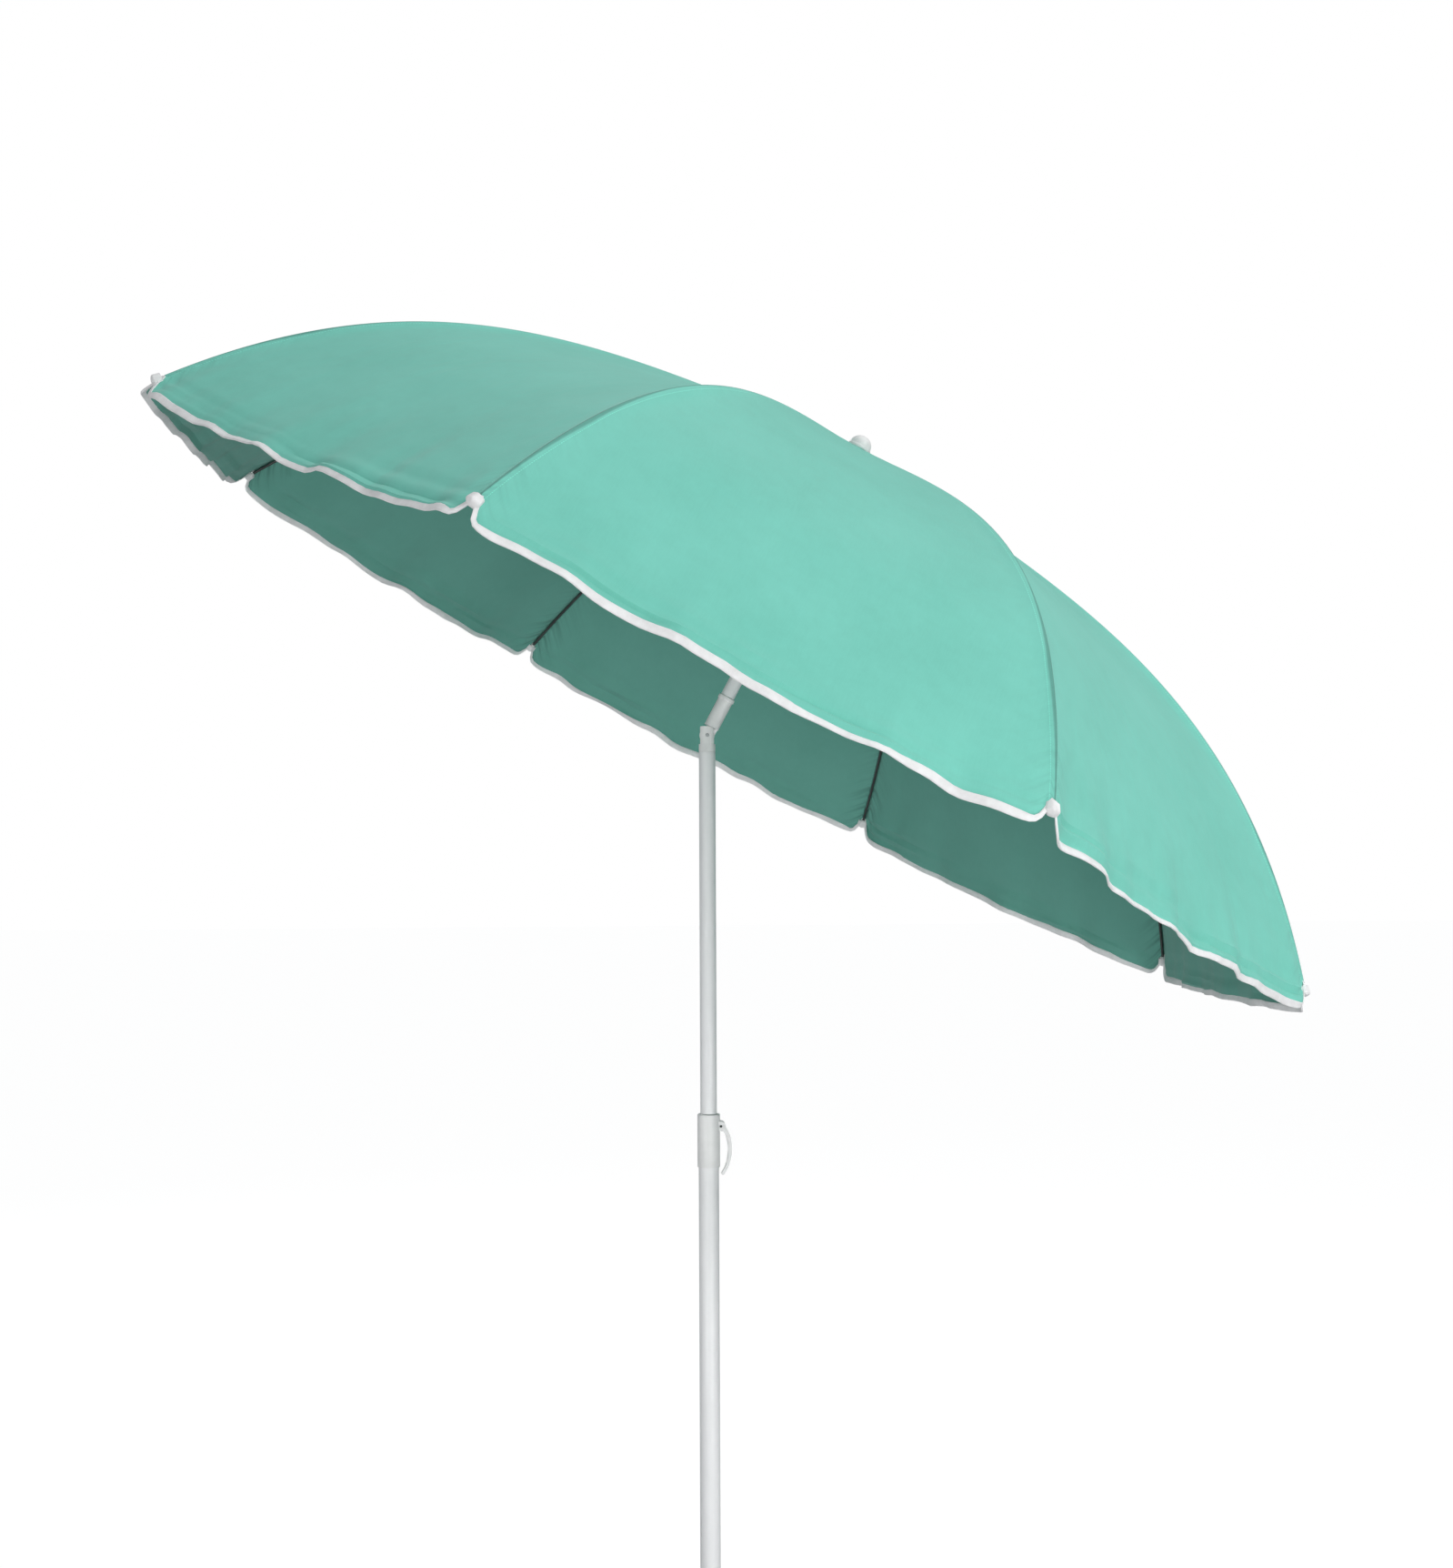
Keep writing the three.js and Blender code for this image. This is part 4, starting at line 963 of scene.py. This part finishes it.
def wrinkles(across, out, share, drop, rng):
    """The cloth's small folds, along its normal: none on the ribs, most near the rib tips."""
    width = share * REACH * np.sin(HALF)
    seam = (1 - np.abs(across)) * width
    slant = math.hypot(1, dome_slope(REACH))
    above = (1 - np.clip(out, 0, 1)) * REACH * slant - np.clip(out - 1, 0, 1) * drop
    field = np.zeros_like(across)
    for corner in (-1, 1):
        field += tension_folds((1 - corner * across) * width, above, rng)
    # ripples by the hem, gathers round the crown, and the whole panel's slight unevenness
    hem_line = np.exp(-((above / 0.075) ** 2)) * (1 - across**2)
    field += 0.0013 * hem_line * smooth_noise(across * width, above * 0.4, rng, 8, 0.07)
    gather = np.exp(-share * REACH / 0.10)
    field += 0.0006 * gather * np.sin(16 * across + rng.uniform(0, 6))
    field += 0.0016 * share * smooth_noise(across * width, out, rng, 14, 0.30)
    return field * (1 - np.exp(-((seam / 0.010) ** 2)))


def panel_maps(points, across):
    """Maps in metres: the weave's, and the distances from the seam and from the hem."""
    steps = np.linalg.norm(np.diff(points, axis=0), axis=2)
    down = np.vstack([np.zeros(points.shape[1]), np.cumsum(steps, axis=0)])
    middle = points.shape[1] // 2
    along = np.repeat(down[:, middle : middle + 1], points.shape[1], axis=1)
    width = np.linalg.norm(points[:, -1] - points[:, 0], axis=1)[:, None] / 2
    lateral = across * width
    return (
        np.stack([lateral, along], axis=2),
        np.stack([(1 - np.abs(across)) * width, along[-1:] - along], axis=2),
    )


def grid_faces(rows, columns, first=0, flip=False):
    faces = []
    for i in range(rows - 1):
        for j in range(columns - 1):
            a = first + i * columns + j
            quad = (a, a + columns, a + columns + 1, a + 1)
            faces.append(quad[::-1] if flip else quad)
    return faces


def rim_faces(rows, columns):
    """Walls between the two layers, all the way round."""
    top = list(range(columns))
    right = [i * columns + columns - 1 for i in range(1, rows)]
    bottom = [(rows - 1) * columns + j for j in range(columns - 2, -1, -1)]
    left = [i * columns for i in range(rows - 2, 0, -1)]
    loop = top + right + bottom + left
    under = rows * columns
    return [
        (a, b, b + under, a + under) for a, b in zip(loop, loop[1:] + loop[:1])
    ]


def to_row(points, n):
    """Points of the panel from rib n, from the shaft's frame to the row frame."""
    place = np.array(HEAD @ Matrix.Rotation(n * STEP, 4, "Z"))
    return points @ place[:3, :3].T + place[:3, 3]


def set_map(mesh, name, values):
    layer = mesh.uv_layers.new(name=name)
    index = np.empty(len(mesh.loops), int)
    mesh.loops.foreach_get("vertex_index", index)
    layer.data.foreach_set("uv", values[index].astype(np.float32).ravel())


def bend_with_rib(piece):
    """piece with its place baked into its mesh; it is bound to no rib or flap body."""
    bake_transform(piece)


def half_cloth(points, normals, maps, across, rib_number, side):
    """Half a panel as a closed sheet: two layers of the surface and the walls between."""
    rows, columns = across.shape
    layers = [points + normals * CLOTH_THICKNESS / 2, points - normals * CLOTH_THICKNESS / 2]
    vertices = np.concatenate([layer.reshape(-1, 3) for layer in layers])
    faces = grid_faces(rows, columns)
    faces += grid_faces(rows, columns, rows * columns, True)
    faces += rim_faces(rows, columns)
    cloth = make_object(f"canopy_{rib_number}{side}", vertices, faces, CLOTH)
    for name, values in zip(("cloth", "edges"), maps):
        flat = values.reshape(-1, 2)
        beyond = flat + (UNDERSIDE if name == "cloth" else 0, 0)
        set_map(cloth.data, name, np.concatenate([flat, beyond]))
    bend_with_rib(cloth)
    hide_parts(f"half_panel_{rib_number}{side}")
    return cloth


def tape_section():
    """The tape's outline: (into the cloth, along its normal), round where it folds."""
    half = TAPE_THICKNESS / 2
    low, high = half - TAPE_OVERHANG, TAPE_WIDTH - TAPE_OVERHANG - TAPE_EDGE
    upper = [(high, 0.62 * half), (high + TAPE_EDGE, 0.3 * half)]
    outer = [(low + (high - low) * k / 3, half * (1 - 0.12 * k)) for k in range(3)]
    fold = [(low + half * math.cos(a), half * math.sin(a))
            for a in (math.radians(180 + 30 * k) for k in range(-2, 3))]
    front = outer + upper
    back = [(p, -q) for p, q in front[::-1]]
    return front + back + fold[::-1]


def half_tape(points, normals, across, rib_number, side):
    """The white tape folded round the hem's edge, narrower where it nears a rib's tip."""
    edge, above, normal = points[-1], points[-2], normals[-1]
    ahead = np.gradient(edge, axis=0)
    ahead /= np.linalg.norm(ahead, axis=1, keepdims=True)
    inward = np.cross(normal, ahead)
    inward *= np.sign(np.sum(inward * (above - edge), axis=1))[:, None]
    section = tape_section()
    from_tip = (1 - np.abs(across[-1])) * REACH * np.sin(HALF)
    narrow = (1 - 0.5 * np.exp(-((from_tip / TIP_NARROW) ** 2)))[:, None]
    vertices = np.concatenate([
        (edge + inward * p * narrow + normal * q)[:, None] for p, q in section], axis=1)
    count, around = vertices.shape[:2]
    faces = tube_faces(count, around)
    tape = make_object(f"hem_tape_{rib_number}{side}", vertices.reshape(-1, 3), faces, TAPE)
    run = np.concatenate([[0], np.cumsum(np.linalg.norm(np.diff(edge, axis=0), axis=1))])
    deep = np.array([p + TAPE_OVERHANG for p, _ in section])
    flat = np.stack(np.meshgrid(run, deep, indexing="ij"), axis=2)
    set_map(tape.data, "tape", flat.reshape(-1, 2))
    bend_with_rib(tape)
    return tape


def panel(n):
    """The panel from rib n to the next one, as two halves that meet at its middle line."""
    across, _ = panel_grid()
    local = panel_surface(n)
    points, normals = to_row(local, n), grid_normals(local)
    normals = to_row(normals, n) - to_row(np.zeros((1, 1, 3)), n)
    if normals[0, 0].dot(np.array(SHAFT_UP)) < 0:
        normals = -normals
    maps = panel_maps(local, across)
    halves = (
        (slice(0, COLUMNS + 1), n, "b"),
        (slice(COLUMNS, 2 * COLUMNS + 1), n % RIB_COUNT + 1, "a"),
    )
    for part, rib_number, side in halves:
        cut = [values[:, part] for values in (points, normals, *maps, across)]
        cloth = half_cloth(cut[0], cut[1], cut[2:4], cut[4], rib_number, side)
        tape = half_tape(cut[0], cut[1], cut[4], rib_number, side)


for n in range(1, RIB_COUNT + 1):
    rib(n)
    rib_tip(n)
    tip_pocket(n)
    refined(f"stretcher_{n}", 0.0004)
    panel(n)
